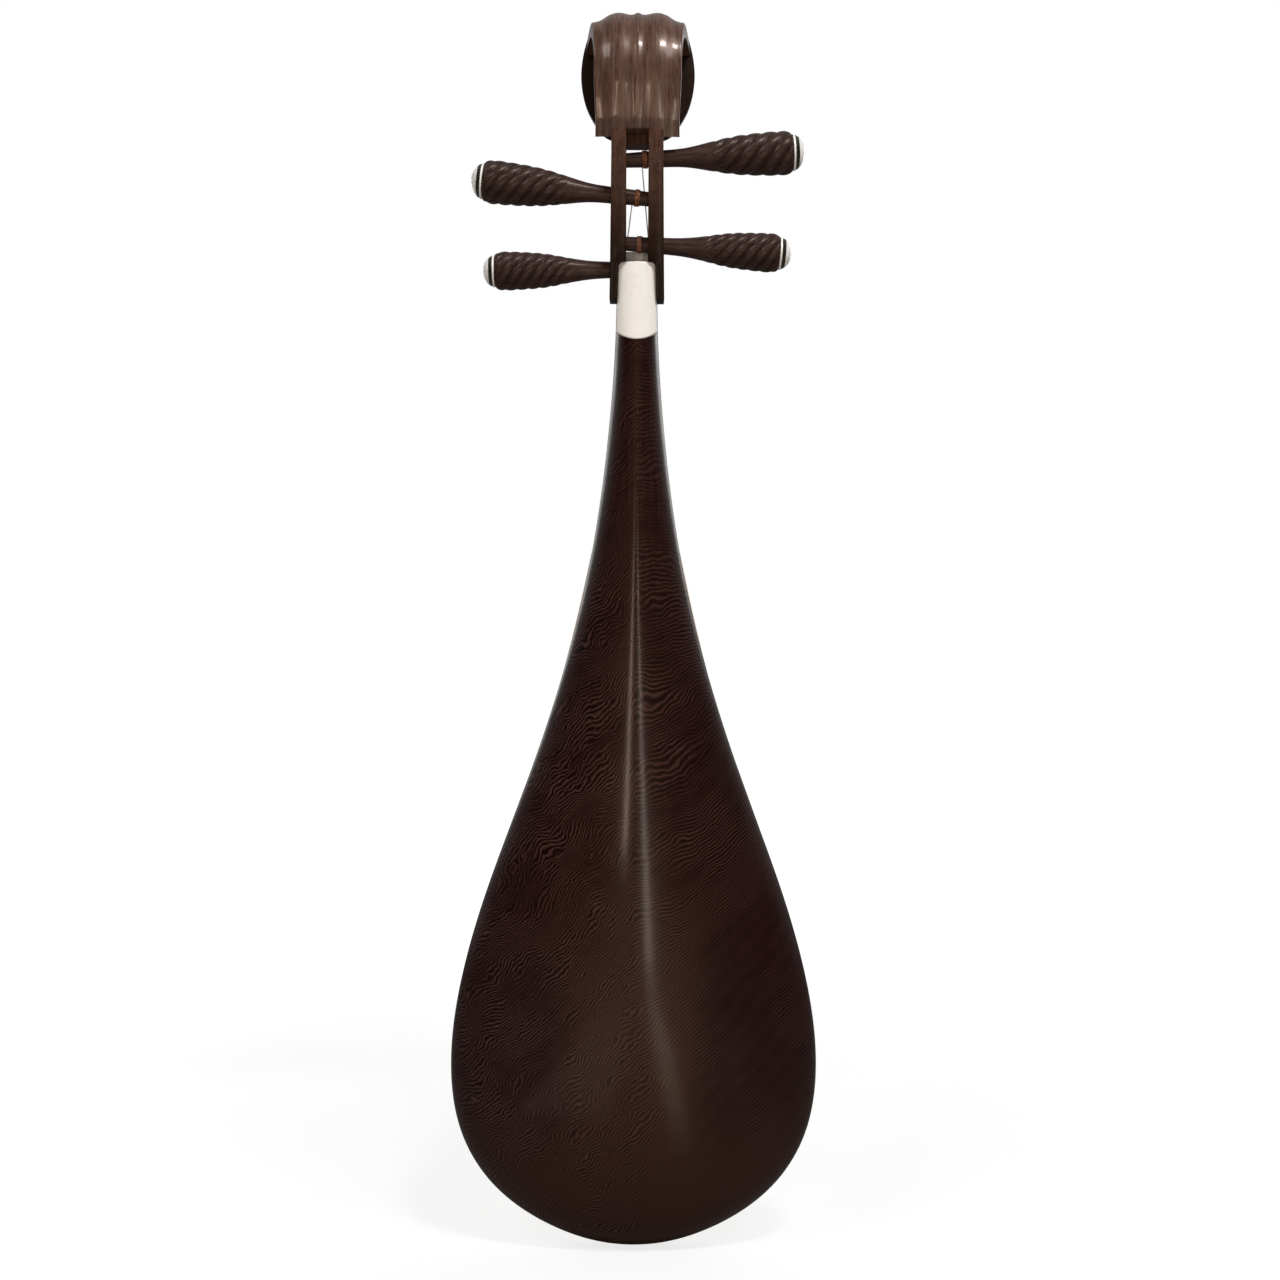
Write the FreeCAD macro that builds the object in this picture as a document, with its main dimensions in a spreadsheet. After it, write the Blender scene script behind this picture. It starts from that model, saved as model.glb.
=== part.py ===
import FreeCAD, Part
import math
import os

from FreeCAD import Placement, Rotation, Vector

# Pipa, a pear-shaped lute with four strings, six neck frets and twenty-four soundboard frets.
# Frame, in millimetres: +Z runs along the strings from the tail to the head, +Y comes out of the
# carved back and the soundboard faces -Y. The plane Y = 0 is the glue joint between back and
# soundboard, and the origin is the tail end of that joint on the centre line.

SIZES = (
    ("string_length", 700.0, "nut crest to bridge"),
    ("nut_line", 817.0, "height of the nut crest above the tail"),
    ("half_width", 152.5, "half the widest part of the body"),
    ("back_depth", 55.0, "deepest point of the back behind the joint plane"),
    ("bowl_wall", 8.0, "wall left by hollowing the back"),
    ("hollow_top", 560.0, "upper end of the hollow"),
    ("board_thick", 6.0, "soundboard thickness"),
    ("board_top", 578.0, "upper end of the soundboard"),
    ("neck_top", 798.0, "shoulder of the neck inside the pegbox"),
    ("neck_width", 34.0, "neck width at the pegbox"),
    ("lip_top", 816.0, "top of the tongue that carries the nut"),
    ("lip_back", 3.0, "back of that tongue"),
    ("nut_width", 33.0, "nut length across the neck"),
    ("nut_height", 18.0, "nut crest above the neck face"),
    ("bridge_height", 14.0, "bridge above the soundboard"),
    ("bridge_width", 84.0, "bridge across the soundboard"),
    ("bridge_string_height", 11.0, "strings above the soundboard at the bridge"),
    ("bridge_setback", 11.0, "middle of the bridge below its string line"),
    ("bridge_foot", 12.0, "lower end of the bridge below its middle"),
    ("sound_hole_radius", 4.0, "sound hole hidden under the bridge"),
    ("string_radius", 0.5, "half a string's thickness"),
    ("string_hole_radius", 1.2, "string holes through the bridge"),
    ("string_clearance", 0.35, "gap between a string's end and its peg shaft"),
    ("nut_spacing", 8.0, "string spacing at the nut"),
    ("bridge_spacing", 12.8, "string spacing at the bridge"),
    ("fret_gap", 0.8, "fret clearance under the strings next to the nut"),
    ("fret_gap_step", 0.06, "growth of that clearance from fret to fret"),
    ("fret_edge", 2.2, "width of a fret's top edge"),
    ("pin_base", 6.0, "foot of a soundboard fret along the strings"),
    ("pin_width", 50.0, "length of the first soundboard fret"),
    ("pin_width_step", 0.45, "growth of that length from fret to fret"),
    ("block_width", 34.0, "length of the first neck fret"),
    ("block_width_step", 4.0, "growth of that length from fret to fret"),
    ("pegbox_width", 45.0, "pegbox over both cheeks at their lower end"),
    ("pegbox_top_width", 41.5, "pegbox over both cheeks at the head"),
    ("slot_width", 18.0, "gap between the cheeks"),
    ("pegbox_foot", 784.0, "lower end of the cheeks"),
    ("pegbox_top", 912.0, "where the head is joined to the pegbox"),
    ("bridge_block", 904.0, "underside of the block that joins the cheeks at the top"),
    ("bridge_block_back", 46.0, "back of that block behind the joint plane"),
    ("seat_depth", 20.5, "glue face of the heel plate behind the joint plane"),
    ("heel_width", 33.6, "heel plate across its lower end"),
    ("heel_top_width", 30.6, "heel plate across its upper end"),
    ("heel_top", 814.0, "upper end of the heel plate"),
    ("heel_corner", 758.0, "lower corners of the heel plate"),
    ("heel_bottom", 750.5, "lowest point of its rounded lower edge"),
    ("heel_chamfer", 2.0, "cut off the heel plate's upper corners"),
    ("heel_rise", 7.5, "rounding of the heel plate above its glue face"),
    ("band_back_width", 68.6, "head band across its back"),
    ("band_front_width", 87.4, "head band where it meets the front plate"),
    ("crown_width", 52.0, "raised middle of the head band"),
    ("plate_thick", 8.0, "front plate of the head"),
    ("plate_front", 14.0, "front of the head plate before the joint plane"),
    ("shaft_radius", 6.75, "peg shaft where it enters the near cheek"),
    ("shaft_taper", 0.032, "loss of radius along the shaft"),
    ("shaft_end", 19.5, "depth of the shaft's end beyond the centre plane"),
    ("bore_allowance", 0.5, "bore beyond the shaft's end"),
    ("shoulder_gap", 0.4, "start of the handle outside the cheek"),
    ("bore_clearance", 0.06, "running clearance of a peg in its bores"),
    ("handle_length", 104.5, "peg handle up to its white ring"),
    ("ring_width", 1.6, "white ring"),
    ("cap_length", 3.0, "dark cap beyond the ring"),
    ("button_radius", 12.0, "white end button"),
    ("button_rise", 5.5, "rise of the end button"),
    ("pin_radius", 2.5, "pin of the end button"),
    ("pin_length", 6.0, "length of that pin"),
    ("coil_width", 4.5, "string windings along the peg"),
    ("coil_sleeve", 0.3, "wall under the windings' beads"),
    ("first_peg_line", 893.0, "peg 1 above the tail at the centre plane"),
    ("second_peg_line", 864.7, "peg 2"),
    ("third_peg_line", 829.6, "peg 3"),
    ("fourth_peg_line", 810.6, "peg 4"),
    ("first_peg_depth", 40.0, "peg 1 behind the joint plane"),
    ("second_peg_depth", 31.0, "peg 2"),
    ("third_peg_depth", 20.0, "peg 3"),
    ("fourth_peg_depth", 12.7, "peg 4"),
    ("post_radius", 4.0, "sound post"),
    ("brace_width", 12.0, "cross brace along the strings"),
    ("brace_height", 16.0, "cross brace behind the soundboard"),
    ("inlay_radius", 13.0, "bone flower on the head plate"),
    ("inlay_line", 968.0, "height of its centre above the tail"),
    ("inlay_thick", 1.6, "flower in front of the plate"),
)

# Each peg: side of its handle (+1 is +X), upward tilt of the handle in degrees, size of the
# handle, middle of its windings and place of its string's end along X, string's place at the nut
# counted in spacings from the centre line.
PEGS = (
    ("first", -1, 2.9, 1.0, -6.2, -3.1, -1.5),
    ("second", 1, 6.0, 1.0, 0.0, 3.1, 1.5),
    ("third", -1, -3.4, 0.91, -2.0, -5.1, -0.5),
    ("fourth", 1, -0.9, 0.91, 5.5, 2.4, 0.5),
)

NECK_FRETS = range(2, 8)
BOARD_FRETS = range(8, 32)

doc = FreeCAD.newDocument("pipa")
sheet = doc.addObject("Spreadsheet::Sheet", "Sizes")
for row, (alias, value, meaning) in enumerate(SIZES, start=1):
    sheet.set(f"A{row}", meaning)
    sheet.set(f"B{row}", str(value))
    sheet.setAlias(f"B{row}", alias)
doc.recompute()

size = {alias: float(sheet.get(alias)) for alias, _, _ in SIZES}
parts = {}


# ---------------------------------------------------------------- helpers

def bind(obj, **expressions):
    """Bind properties to spreadsheet expressions; a double underscore stands for a dot."""
    for name, text in expressions.items():
        obj.setExpression(name.replace("__", "."), text)


def add(kind, name, **expressions):
    obj = doc.addObject(kind, name)
    bind(obj, **expressions)
    return obj


def keep(name, obj):
    """Give an object its node name and list it for export."""
    obj.Label = name
    parts[name] = obj
    return obj


def shaped(name, shape):
    """A Part::Feature for a free-form piece."""
    obj = doc.addObject("Part::Feature", name)
    obj.Shape = shape
    obj.Placement = Placement()
    return obj


def cut(name, base, tool):
    obj = doc.addObject("Part::Cut", name)
    obj.Base = base
    obj.Tool = tool
    return obj


def common(name, base, tool):
    obj = doc.addObject("Part::Common", name)
    obj.Base = base
    obj.Tool = tool
    return obj


def fuse(name, pieces):
    obj = doc.addObject("Part::MultiFuse", name)
    obj.Shapes = pieces
    return obj


def box(name, **expressions):
    return add("Part::Box", name, **expressions)


def sketch_in(body, name, plane):
    """A sketch of a body on one of its own origin planes."""
    sketch = body.newObject("Sketcher::SketchObject", name)
    origin = [item for item in body.Origin.OriginFeatures if item.Role == plane][0]
    sketch.AttachmentSupport = [(origin, "")]
    sketch.MapMode = "FlatFace"
    return sketch


def polygon(sketch, points):
    """A closed outline of straight lines through sketch points."""
    corners = [Vector(u, v, 0) for u, v in points]
    for start, end in zip(corners, corners[1:] + corners[:1]):
        sketch.addGeometry(Part.LineSegment(start, end), False)


def smooth(points):
    curve = Part.BSplineCurve()
    curve.interpolate([Vector(*point) for point in points])
    return curve


def pad(body, name, sketch, length):
    """A pad that is symmetric about the sketch plane, its length an expression."""
    feature = body.newObject("PartDesign::Pad", name)
    feature.Profile = sketch
    feature.Midplane = True
    feature.setExpression("Length", length)
    sketch.Visibility = False
    return feature


def turn(body, name, sketch):
    """A full revolution about the sketch's vertical axis."""
    feature = body.newObject("PartDesign::Revolution", name)
    feature.Profile = sketch
    feature.ReferenceAxis = (sketch, ["V_Axis"])
    feature.Angle = 360
    return feature


# ---------------------------------------------------------------- carved back and soundboard

# The back is carried by one guide curve whose three coordinates are the half width, the depth of
# the ridge and the height: (part of the half width, part of the back depth, height).
GUIDE = (
    (0.2, 0.2, 3.1), (0.433, 0.42, 15), (0.755, 0.66, 48), (0.934, 0.84, 90), (1.0, 0.965, 150),
    (0.953, 1.0, 215), (0.797, 0.95, 300), (0.605, 0.84, 380), (0.39, 0.68, 480),
    (0.238, 0.56, 580), (0.151, 0.50, 680), (0.118, 0.49, 751), (0.1115, 0.49, 798),
)
# Roundness of the cross-section: 2 is an ellipse, less than 2 leaves a ridge down the middle.
ROUNDNESS = ((0, 2.05), (110, 2.0), (165, 1.85), (215, 1.7), (300, 1.7), (380, 1.72), (480, 1.75),
             (680, 1.75), (751, 2.2), (800, 2.4))
GUIDE_STEPS = 56
GUIDE_CROWDING = 1.15  # above 1 the sections stand closer together at the tail
SECTION_STEPS = 28
HOLLOW_CENTRE = 150.0  # the hollow is a smaller copy of the outside about this height
WIDE = 400.0  # wider than any part of the instrument


def roundness(height):
    for (low, first), (high, last) in zip(ROUNDNESS, ROUNDNESS[1:]):
        if height <= high:
            return first + (last - first) * max(0.0, height - low) / (high - low)
    return ROUNDNESS[-1][1]


def arched_solid(width, depth, tail, shrink, top):
    """The solid under the carved back: flat on Y = 0, round at the tail, cut off at top."""
    stations = [Vector(0, 0, tail)]
    for part_width, part_depth, height in GUIDE:
        lowered = HOLLOW_CENTRE + (height - HOLLOW_CENTRE) * shrink
        stations.append(Vector(part_width * width, part_depth * depth, lowered))
    guide = Part.BSplineCurve()
    guide.interpolate(Points=stations, InitialTangent=Vector(1.0, 0.4, 0), FinalTangent=Vector(0, 0, 1))
    last = guide.LastParameter
    cutting = Part.Plane(Vector(0, 0, top), Vector(0, 0, 1))
    hits = guide.intersectCS(cutting)[0] if top < stations[-1].z else []
    if hits:
        last = guide.parameter(Vector(hits[0].X, hits[0].Y, hits[0].Z))
    net = []
    for step in range(GUIDE_STEPS + 1):
        station = guide.value(last * (step / GUIDE_STEPS) ** GUIDE_CROWDING)
        power = 2.0 / roundness(station.z)
        row = []
        for turn_step in range(SECTION_STEPS + 1):
            angle = math.pi * turn_step / SECTION_STEPS
            across = math.copysign(abs(math.cos(angle)) ** power, math.cos(angle))
            row.append(Vector(station.x * across, station.y * math.sin(angle) ** power, station.z))
        net.append(row)
    back = Part.BSplineSurface()
    u_knots, u_mults = clamped_knots(len(net))
    v_knots, v_mults = clamped_knots(len(net[0]))
    back.buildFromPolesMultsKnots(net, u_mults, v_mults, u_knots, v_knots, False, False, 3, 3)
    skin = back.toShape()
    flat_edges = [edge for edge in skin.Edges if not edge.Degenerated and edge.BoundBox.YLength < 1e-6]
    right_rim, left_rim = sorted(flat_edges, key=lambda edge: -edge.BoundBox.XMax)
    arch = [edge for edge in skin.Edges if not edge.Degenerated and edge.BoundBox.YLength > 1e-6][0]
    foot = Part.makeLine(Vector(-station.x, 0, station.z), Vector(station.x, 0, station.z))
    joint = Part.Face(Part.Wire(Part.__sortEdges__([right_rim, left_rim, foot])))
    end = Part.Face(Part.Wire(Part.__sortEdges__([arch, foot])))
    shell = Part.makeShell([skin, joint, end])
    shell.sewShape()
    solid = Part.makeSolid(shell)
    if solid.Volume < 0:
        solid.reverse()
    return solid, joint


def clamped_knots(poles):
    spans = poles - 3
    return list(range(spans + 1)), [4] + [1] * (spans - 1) + [4]


def slab(face, low, high, front):
    """The stretch of a flat outline between two heights, thickened towards -Y."""
    window = Part.makeBox(WIDE, 2, high - low, Vector(-WIDE / 2, -1, low))
    return face.common(window).extrude(Vector(0, -front, 0))


outer, outline = arched_solid(size["half_width"], size["back_depth"], 0.0, 1.0, size["neck_top"])
wall = size["bowl_wall"]
hollow, _ = arched_solid(
    size["half_width"] - wall, size["back_depth"] - wall, wall, 1 - wall / HOLLOW_CENTRE, size["hollow_top"])

board_thick = size["board_thick"]
board_top = size["board_top"]
neck_front = slab(outline, board_top, size["neck_top"], board_thick)
neck_width = size["neck_width"]
TONGUE_ROOT = 2.0  # the tongue starts this far inside the neck
tongue = Part.makeBox(
    neck_width, board_thick + size["lip_back"], size["lip_top"] - size["neck_top"] + TONGUE_ROOT,
    Vector(-neck_width / 2, -board_thick, size["neck_top"] - TONGUE_ROOT))
carved = shaped("carved_back", outer.fuse([neck_front, tongue]).removeSplitter().cut(hollow))

bridge_line = size["nut_line"] - size["string_length"]
bridge_centre = bridge_line - size["bridge_setback"]
sound_hole = Part.makeCylinder(
    size["sound_hole_radius"], 3 * board_thick, Vector(0, -2 * board_thick, bridge_centre), Vector(0, 1, 0))
keep("soundboard", shaped("soundboard", slab(outline, -wall, board_top, board_thick).cut(sound_hole)))

# Two braces and two posts fill the height between the soundboard and the carved back.
BRACES = (240.0, 400.0)  # heights of the braces
POSTS = ((-34.0, 165.0), (34.0, 165.0))  # (X, Z) of the posts
brace_bars = []
for number, height in enumerate(BRACES, start=1):
    brace_bars.append(box(
        f"brace_bar_{number}", Length="Sizes.half_width * 2", Width="Sizes.brace_height",
        Height="Sizes.brace_width", Placement__Base__x="-Sizes.half_width",
        Placement__Base__z=f"{height} - Sizes.brace_width / 2"))
hollow_form = shaped("hollow_form", hollow)
keep("cross_braces", common("braces_fitted", fuse("brace_bars", brace_bars), hollow_form))

post_rods = []
for number, (across, height) in enumerate(POSTS, start=1):
    rod = add("Part::Cylinder", f"post_rod_{number}", Radius="Sizes.post_radius",
              Height="Sizes.back_depth")
    rod.Placement = Placement(Vector(across, 0, height), Rotation(Vector(1, 0, 0), -90))
    post_rods.append(rod)
keep("sound_posts", common("posts_fitted", fuse("post_rods", post_rods), hollow_form))


# ---------------------------------------------------------------- heel plate

def heel_outline(sketch):
    """Seen from the back: straight sides that widen downwards and a rounded lower edge."""
    top, bottom = size["heel_top"], size["heel_corner"]
    half_top, half = size["heel_top_width"] / 2, size["heel_width"] / 2
    chamfer = size["heel_chamfer"]
    points = [(-half, bottom), (-half_top, top - chamfer), (-half_top + chamfer, top),
              (half_top - chamfer, top), (half_top, top - chamfer), (half, bottom)]
    for start, end in zip(points, points[1:]):
        sketch.addGeometry(Part.LineSegment(Vector(*start, 0), Vector(*end, 0)), False)
    edge = Part.Arc(Vector(half, bottom, 0), Vector(0, size["heel_bottom"], 0), Vector(-half, bottom, 0))
    sketch.addGeometry(edge, False)


heel_block = doc.addObject("PartDesign::Body", "heel_block")
heel_sketch = sketch_in(heel_block, "heel_outline", "XZ_Plane")
heel_outline(heel_sketch)
pad(heel_block, "heel_pad", heel_sketch, "Sizes.seat_depth")
bind(heel_block, Placement__Base__y="Sizes.seat_depth * 1.5")

chord = size["heel_width"] / 2
heel_radius = (chord ** 2 + size["heel_rise"] ** 2) / (2 * size["heel_rise"])
heel_rounding = add("Part::Cylinder", "heel_rounding", Height="2 * (Sizes.heel_top - Sizes.heel_bottom)",
                    Placement__Base__z="1.5 * Sizes.heel_bottom - 0.5 * Sizes.heel_top")
heel_rounding.Radius = heel_radius
bind(heel_rounding, Placement__Base__y=f"Sizes.seat_depth + Sizes.heel_rise - {heel_radius}")
keep("heel_plate", common("heel", heel_block, heel_rounding))

keep("body_shell", cut("shell_with_seat", carved, heel_block))


# ---------------------------------------------------------------- pegbox

def peg_placement(word, side, tilt):
    """Local +Z of a peg runs out of the pegbox through its handle."""
    base = Vector(0, size[f"{word}_peg_depth"], size[f"{word}_peg_line"])
    return Placement(base, Rotation(Vector(0, 1, 0), side * (90 - tilt)))


def cheek_face(word):
    """Distance of a cheek's outer face from the centre plane at a peg."""
    up = (size[f"{word}_peg_line"] - size["pegbox_foot"]) / (size["pegbox_top"] - size["pegbox_foot"])
    return (size["pegbox_width"] + (size["pegbox_top_width"] - size["pegbox_width"]) * up) / 2


def shaft_radius(along):
    """Radius of a peg shaft at a distance from the centre plane towards its handle."""
    return size["shaft_radius"] - size["shaft_taper"] * (size["pegbox_width"] / 2 - along)


# Side view of a cheek as (Y, Z), up the back and down the front.
CHEEK = ((25, 784), (27.5, 813), (34, 831), (53.5, 893), (59, 912), (32, 912), (26.5, 893), (7, 831),
         (3, 814), (3, 784))

cheek_body = doc.addObject("PartDesign::Body", "cheek_body")
cheek_sketch = sketch_in(cheek_body, "cheek_outline", "YZ_Plane")
polygon(cheek_sketch, CHEEK)
pad(cheek_body, "cheeks", cheek_sketch, "Sizes.pegbox_width")
taper_body = doc.addObject("PartDesign::Body", "taper_body")
taper_sketch = sketch_in(taper_body, "pegbox_front", "XZ_Plane")
foot_half, top_half = size["pegbox_width"] / 2, size["pegbox_top_width"] / 2
polygon(taper_sketch, ((-foot_half, size["pegbox_foot"]), (foot_half, size["pegbox_foot"]),
                       (top_half, size["pegbox_top"]), (-top_half, size["pegbox_top"])))
pad(taper_body, "taper", taper_sketch, f"{WIDE}")
pegbox_blank = common("pegbox_blank", cheek_body, taper_body)

slot = box("slot", Length="Sizes.slot_width", Width="100", Height="Sizes.bridge_block - Sizes.neck_top",
           Placement__Base__x="-Sizes.slot_width / 2", Placement__Base__y="-20",
           Placement__Base__z="Sizes.neck_top")
slot_end = box("slot_end", Length="Sizes.slot_width", Width="40", Height="20",
               Placement__Base__x="-Sizes.slot_width / 2", Placement__Base__y="Sizes.bridge_block_back",
               Placement__Base__z="Sizes.bridge_block - 1")
BORE_RUNOUT = 3.0  # the bores leave the near cheek by this much
bores = []
for word, side, tilt, *_ in PEGS:
    start = -size["shaft_end"] - size["bore_allowance"]
    end = size["pegbox_width"] / 2 + BORE_RUNOUT
    bore = add("Part::Cone", f"{word}_bore")
    bore.Height = end - start
    bore.Radius1 = shaft_radius(start) + size["bore_clearance"]
    bore.Radius2 = shaft_radius(end) + size["bore_clearance"]
    bore.Placement = peg_placement(word, side, tilt).multiply(Placement(Vector(0, 0, start), Rotation()))
    bores.append(bore)
openings = fuse("pegbox_openings", [slot, slot_end] + bores)
pegbox = cut("pegbox_bored", cut("pegbox_on_heel", cut("pegbox_on_neck", pegbox_blank, carved), heel_block),
             openings)
keep("pegbox", pegbox)


# ---------------------------------------------------------------- head

# Side view of the curl as (Y, Z): from the pegbox up the back, over the top and down to the plate.
CURL_OUTER = ((59, 912), (66, 933), (70, 956), (66, 978), (53, 997), (33, 1006), (14, 1007.5), (-2, 1007),
              (-14, 1004))
CURL_INNER = ((-6, 995), (4, 997), (16, 997.5), (32, 995.5), (46, 987), (55, 972), (57, 954), (52, 933),
              (45, 912))
CROWN_OUTER = ((60, 912), (69, 934), (73, 957), (69, 980), (56, 1002), (34, 1013.5), (14, 1013.5), (-3, 1011),
               (-14, 1007))


def curl(name, outer_points, width):
    """The bent strip between an outer line and the inner line, padded across the instrument."""
    body = doc.addObject("PartDesign::Body", name)
    sketch = sketch_in(body, f"{name}_outline", "YZ_Plane")
    ends = [Vector(*point, 0) for point in (outer_points[-1], CURL_INNER[0], CURL_INNER[-1], outer_points[0])]
    sketch.addGeometry(smooth([(*point, 0) for point in outer_points]), False)
    sketch.addGeometry(Part.LineSegment(ends[0], ends[1]), False)
    sketch.addGeometry(smooth([(*point, 0) for point in CURL_INNER]), False)
    sketch.addGeometry(Part.LineSegment(ends[2], ends[3]), False)
    pad(body, f"{name}_pad", sketch, width)
    return body


# Half outline of the front plate as (X, Z), from its foot to its top.
PLATE = ((0, 922.5), (14, 923.5), (27, 927.5), (36, 938), (42, 949), (46, 962), (47.7, 975), (47, 989),
         (45, 1000), (42.5, 1009))

plate_body = doc.addObject("PartDesign::Body", "plate_body")
plate_sketch = sketch_in(plate_body, "plate_outline", "XZ_Plane")
left_half = [(-across, height, 0) for across, height in reversed(PLATE)]
right_half = [(across, height, 0) for across, height in PLATE[1:]]
plate_sketch.addGeometry(smooth(left_half + right_half), False)
top_across, top_height = PLATE[-1]
plate_sketch.addGeometry(
    Part.LineSegment(Vector(top_across, top_height, 0), Vector(-top_across, top_height, 0)), False)
pad(plate_body, "plate_pad", plate_sketch, "Sizes.plate_thick")
bind(plate_body, Placement__Base__y="Sizes.plate_thick / 2 - Sizes.plate_front")

# Seen from above, the band widens from its back towards the plate.
BAND_BACK = 74.0
TALL = 2200.0  # reaches past the head on both sides of the sketch plane
flare_body = doc.addObject("PartDesign::Body", "flare_body")
flare_sketch = sketch_in(flare_body, "flare_outline", "XY_Plane")
back_half, front_half = size["band_back_width"] / 2, size["band_front_width"] / 2
polygon(flare_sketch, ((-front_half, -size["plate_front"]), (front_half, -size["plate_front"]),
                       (back_half, BAND_BACK), (-back_half, BAND_BACK)))
pad(flare_body, "flare", flare_sketch, f"{TALL}")
band = common("flared_band", curl("band", CURL_OUTER, f"{WIDE}"), flare_body)
crown = curl("crown", CROWN_OUTER, "Sizes.crown_width")
keep("head_scroll", fuse("head", [band, crown, plate_body]))

# A bone flower of six petals on the front of the plate.
inlay_radius = size["inlay_radius"]
PETAL_CENTRE, PETAL_RADIUS, HEART_RADIUS = 0.62, 0.38, 0.5  # parts of the flower's radius
inlay = doc.addObject("PartDesign::Body", "inlay")
petal_sketch = sketch_in(inlay, "petal_outline", "XZ_Plane")
petal_sketch.addGeometry(
    Part.Circle(Vector(0, inlay_radius * PETAL_CENTRE, 0), Vector(0, 0, 1), inlay_radius * PETAL_RADIUS))
petal = pad(inlay, "petal", petal_sketch, "Sizes.inlay_thick")
heart_sketch = sketch_in(inlay, "heart_outline", "XZ_Plane")
heart_sketch.addGeometry(Part.Circle(Vector(0, 0, 0), Vector(0, 0, 1), inlay_radius * HEART_RADIUS))
petals = inlay.newObject("PartDesign::PolarPattern", "petals")
petals.Originals = [petal]
petals.Axis = (petal_sketch, ["N_Axis"])
petals.Angle = 360
petals.Occurrences = 6
inlay.Tip = petals
heart = pad(inlay, "heart", heart_sketch, "Sizes.inlay_thick")
inlay.Tip = heart
bind(inlay, Placement__Base__y="-Sizes.plate_front - Sizes.inlay_thick / 2",
     Placement__Base__z="Sizes.inlay_line")
keep("head_inlay", inlay)


# ---------------------------------------------------------------- nut, bridge and frets

# Side views as (Y, Z) with the neck face and the soundboard at Y = -board_thick.
face = -board_thick
crest = face - size["nut_height"]
nut_line = size["nut_line"]
lip_top = size["lip_top"]
lip_back = size["lip_back"]
NUT = ((face, lip_top - 11), (face, lip_top), (lip_back, lip_top), (lip_back, lip_top + 12),
       (crest + 1.5, nut_line), (crest, nut_line - 1.5), (crest, nut_line - 4), (face - 7, lip_top - 11))
nut_body = doc.addObject("PartDesign::Body", "nut_body")
nut_sketch = sketch_in(nut_body, "nut_outline", "YZ_Plane")
polygon(nut_sketch, NUT)
pad(nut_body, "nut_pad", nut_sketch, "Sizes.nut_width")
keep("nut", nut_body)

high = face - size["bridge_height"]
bridge_end = bridge_centre - size["bridge_foot"]
BRIDGE = ((face, bridge_end), (face, bridge_line + 1), (high, bridge_line), (high, bridge_line - 9),
          (face - 7, bridge_end))
bridge_body = doc.addObject("PartDesign::Body", "bridge_body")
bridge_sketch = sketch_in(bridge_body, "bridge_outline", "YZ_Plane")
polygon(bridge_sketch, BRIDGE)
pad(bridge_body, "bridge_pad", bridge_sketch, "Sizes.bridge_width")
string_holes = []
for number, (*_, place) in enumerate(PEGS, start=1):
    hole = add("Part::Cylinder", f"string_hole_{number}", Radius="Sizes.string_hole_radius", Height="60",
               Placement__Base__x=f"{place} * Sizes.bridge_spacing",
               Placement__Base__y="-Sizes.board_thick - Sizes.bridge_string_height",
               Placement__Base__z=f"{bridge_centre} - 30")
    string_holes.append(hole)
keep("bridge", cut("bridge_drilled", bridge_body, fuse("string_holes", string_holes)))

string_at_nut = crest - size["string_radius"] - 0.1
string_at_bridge = face - size["bridge_string_height"]


def fret_line(number):
    return nut_line - size["string_length"] * (1 - 2 ** (-number / 12))


def fret_rise(number):
    """Height of a fret above its seat, under the string that passes over it."""
    share = (fret_line(number) - bridge_line) / size["string_length"]
    string = string_at_bridge + (string_at_nut - string_at_bridge) * share
    gap = size["fret_gap"] + size["fret_gap_step"] * number
    return face - string - size["string_radius"] - gap


def fret(name, number, foot_up, foot_down, width):
    """A bar across the strings: a foot on the seat and a narrow edge under the strings."""
    body = doc.addObject("PartDesign::Body", f"{name}_body")
    sketch = sketch_in(body, f"{name}_section", "YZ_Plane")
    rise = fret_rise(number)
    half_edge = size["fret_edge"] / 2
    polygon(sketch, ((0, -foot_down), (0, foot_up), (-rise + 1, half_edge), (-rise, half_edge - 0.5),
                     (-rise, 0.5 - half_edge), (-rise + 1, -half_edge)))
    pad(body, f"{name}_pad", sketch, width)
    bind(body, Placement__Base__y="-Sizes.board_thick", Placement__Base__z=
         f"Sizes.nut_line - Sizes.string_length * (1 - 2 ^ (-{number} / 12))")
    return keep(name, body)


for count, number in enumerate(NECK_FRETS):
    up = (fret_line(number - 1) - fret_line(number)) * 0.42
    down = (fret_line(number) - fret_line(number + 1)) * 0.42
    fret(f"neck_fret_{count + 1}", number, up, down,
         f"Sizes.block_width + Sizes.block_width_step * {count}")
for count, number in enumerate(BOARD_FRETS):
    fret(f"soundboard_fret_{count + 1:02d}", number, size["pin_base"] / 2, size["pin_base"] / 2,
         f"Sizes.pin_width + Sizes.pin_width_step * {count}")


# ---------------------------------------------------------------- pegs

# Handle outline as (distance from the cheek as part of the handle length, radius in millimetres).
HANDLE = ((0.0, 6.7), (0.16, 7.5), (0.35, 11.1), (0.53, 14.7), (0.72, 16.6), (0.87, 17.3), (0.95, 17.0),
          (0.985, 15.7), (1.0, 14.0))
SCALED_FROM = 0.3  # nearer the cheek the radii fit the shaft and are not scaled
SPIGOT = 8.0  # radius of the wood inside the white ring


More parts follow.
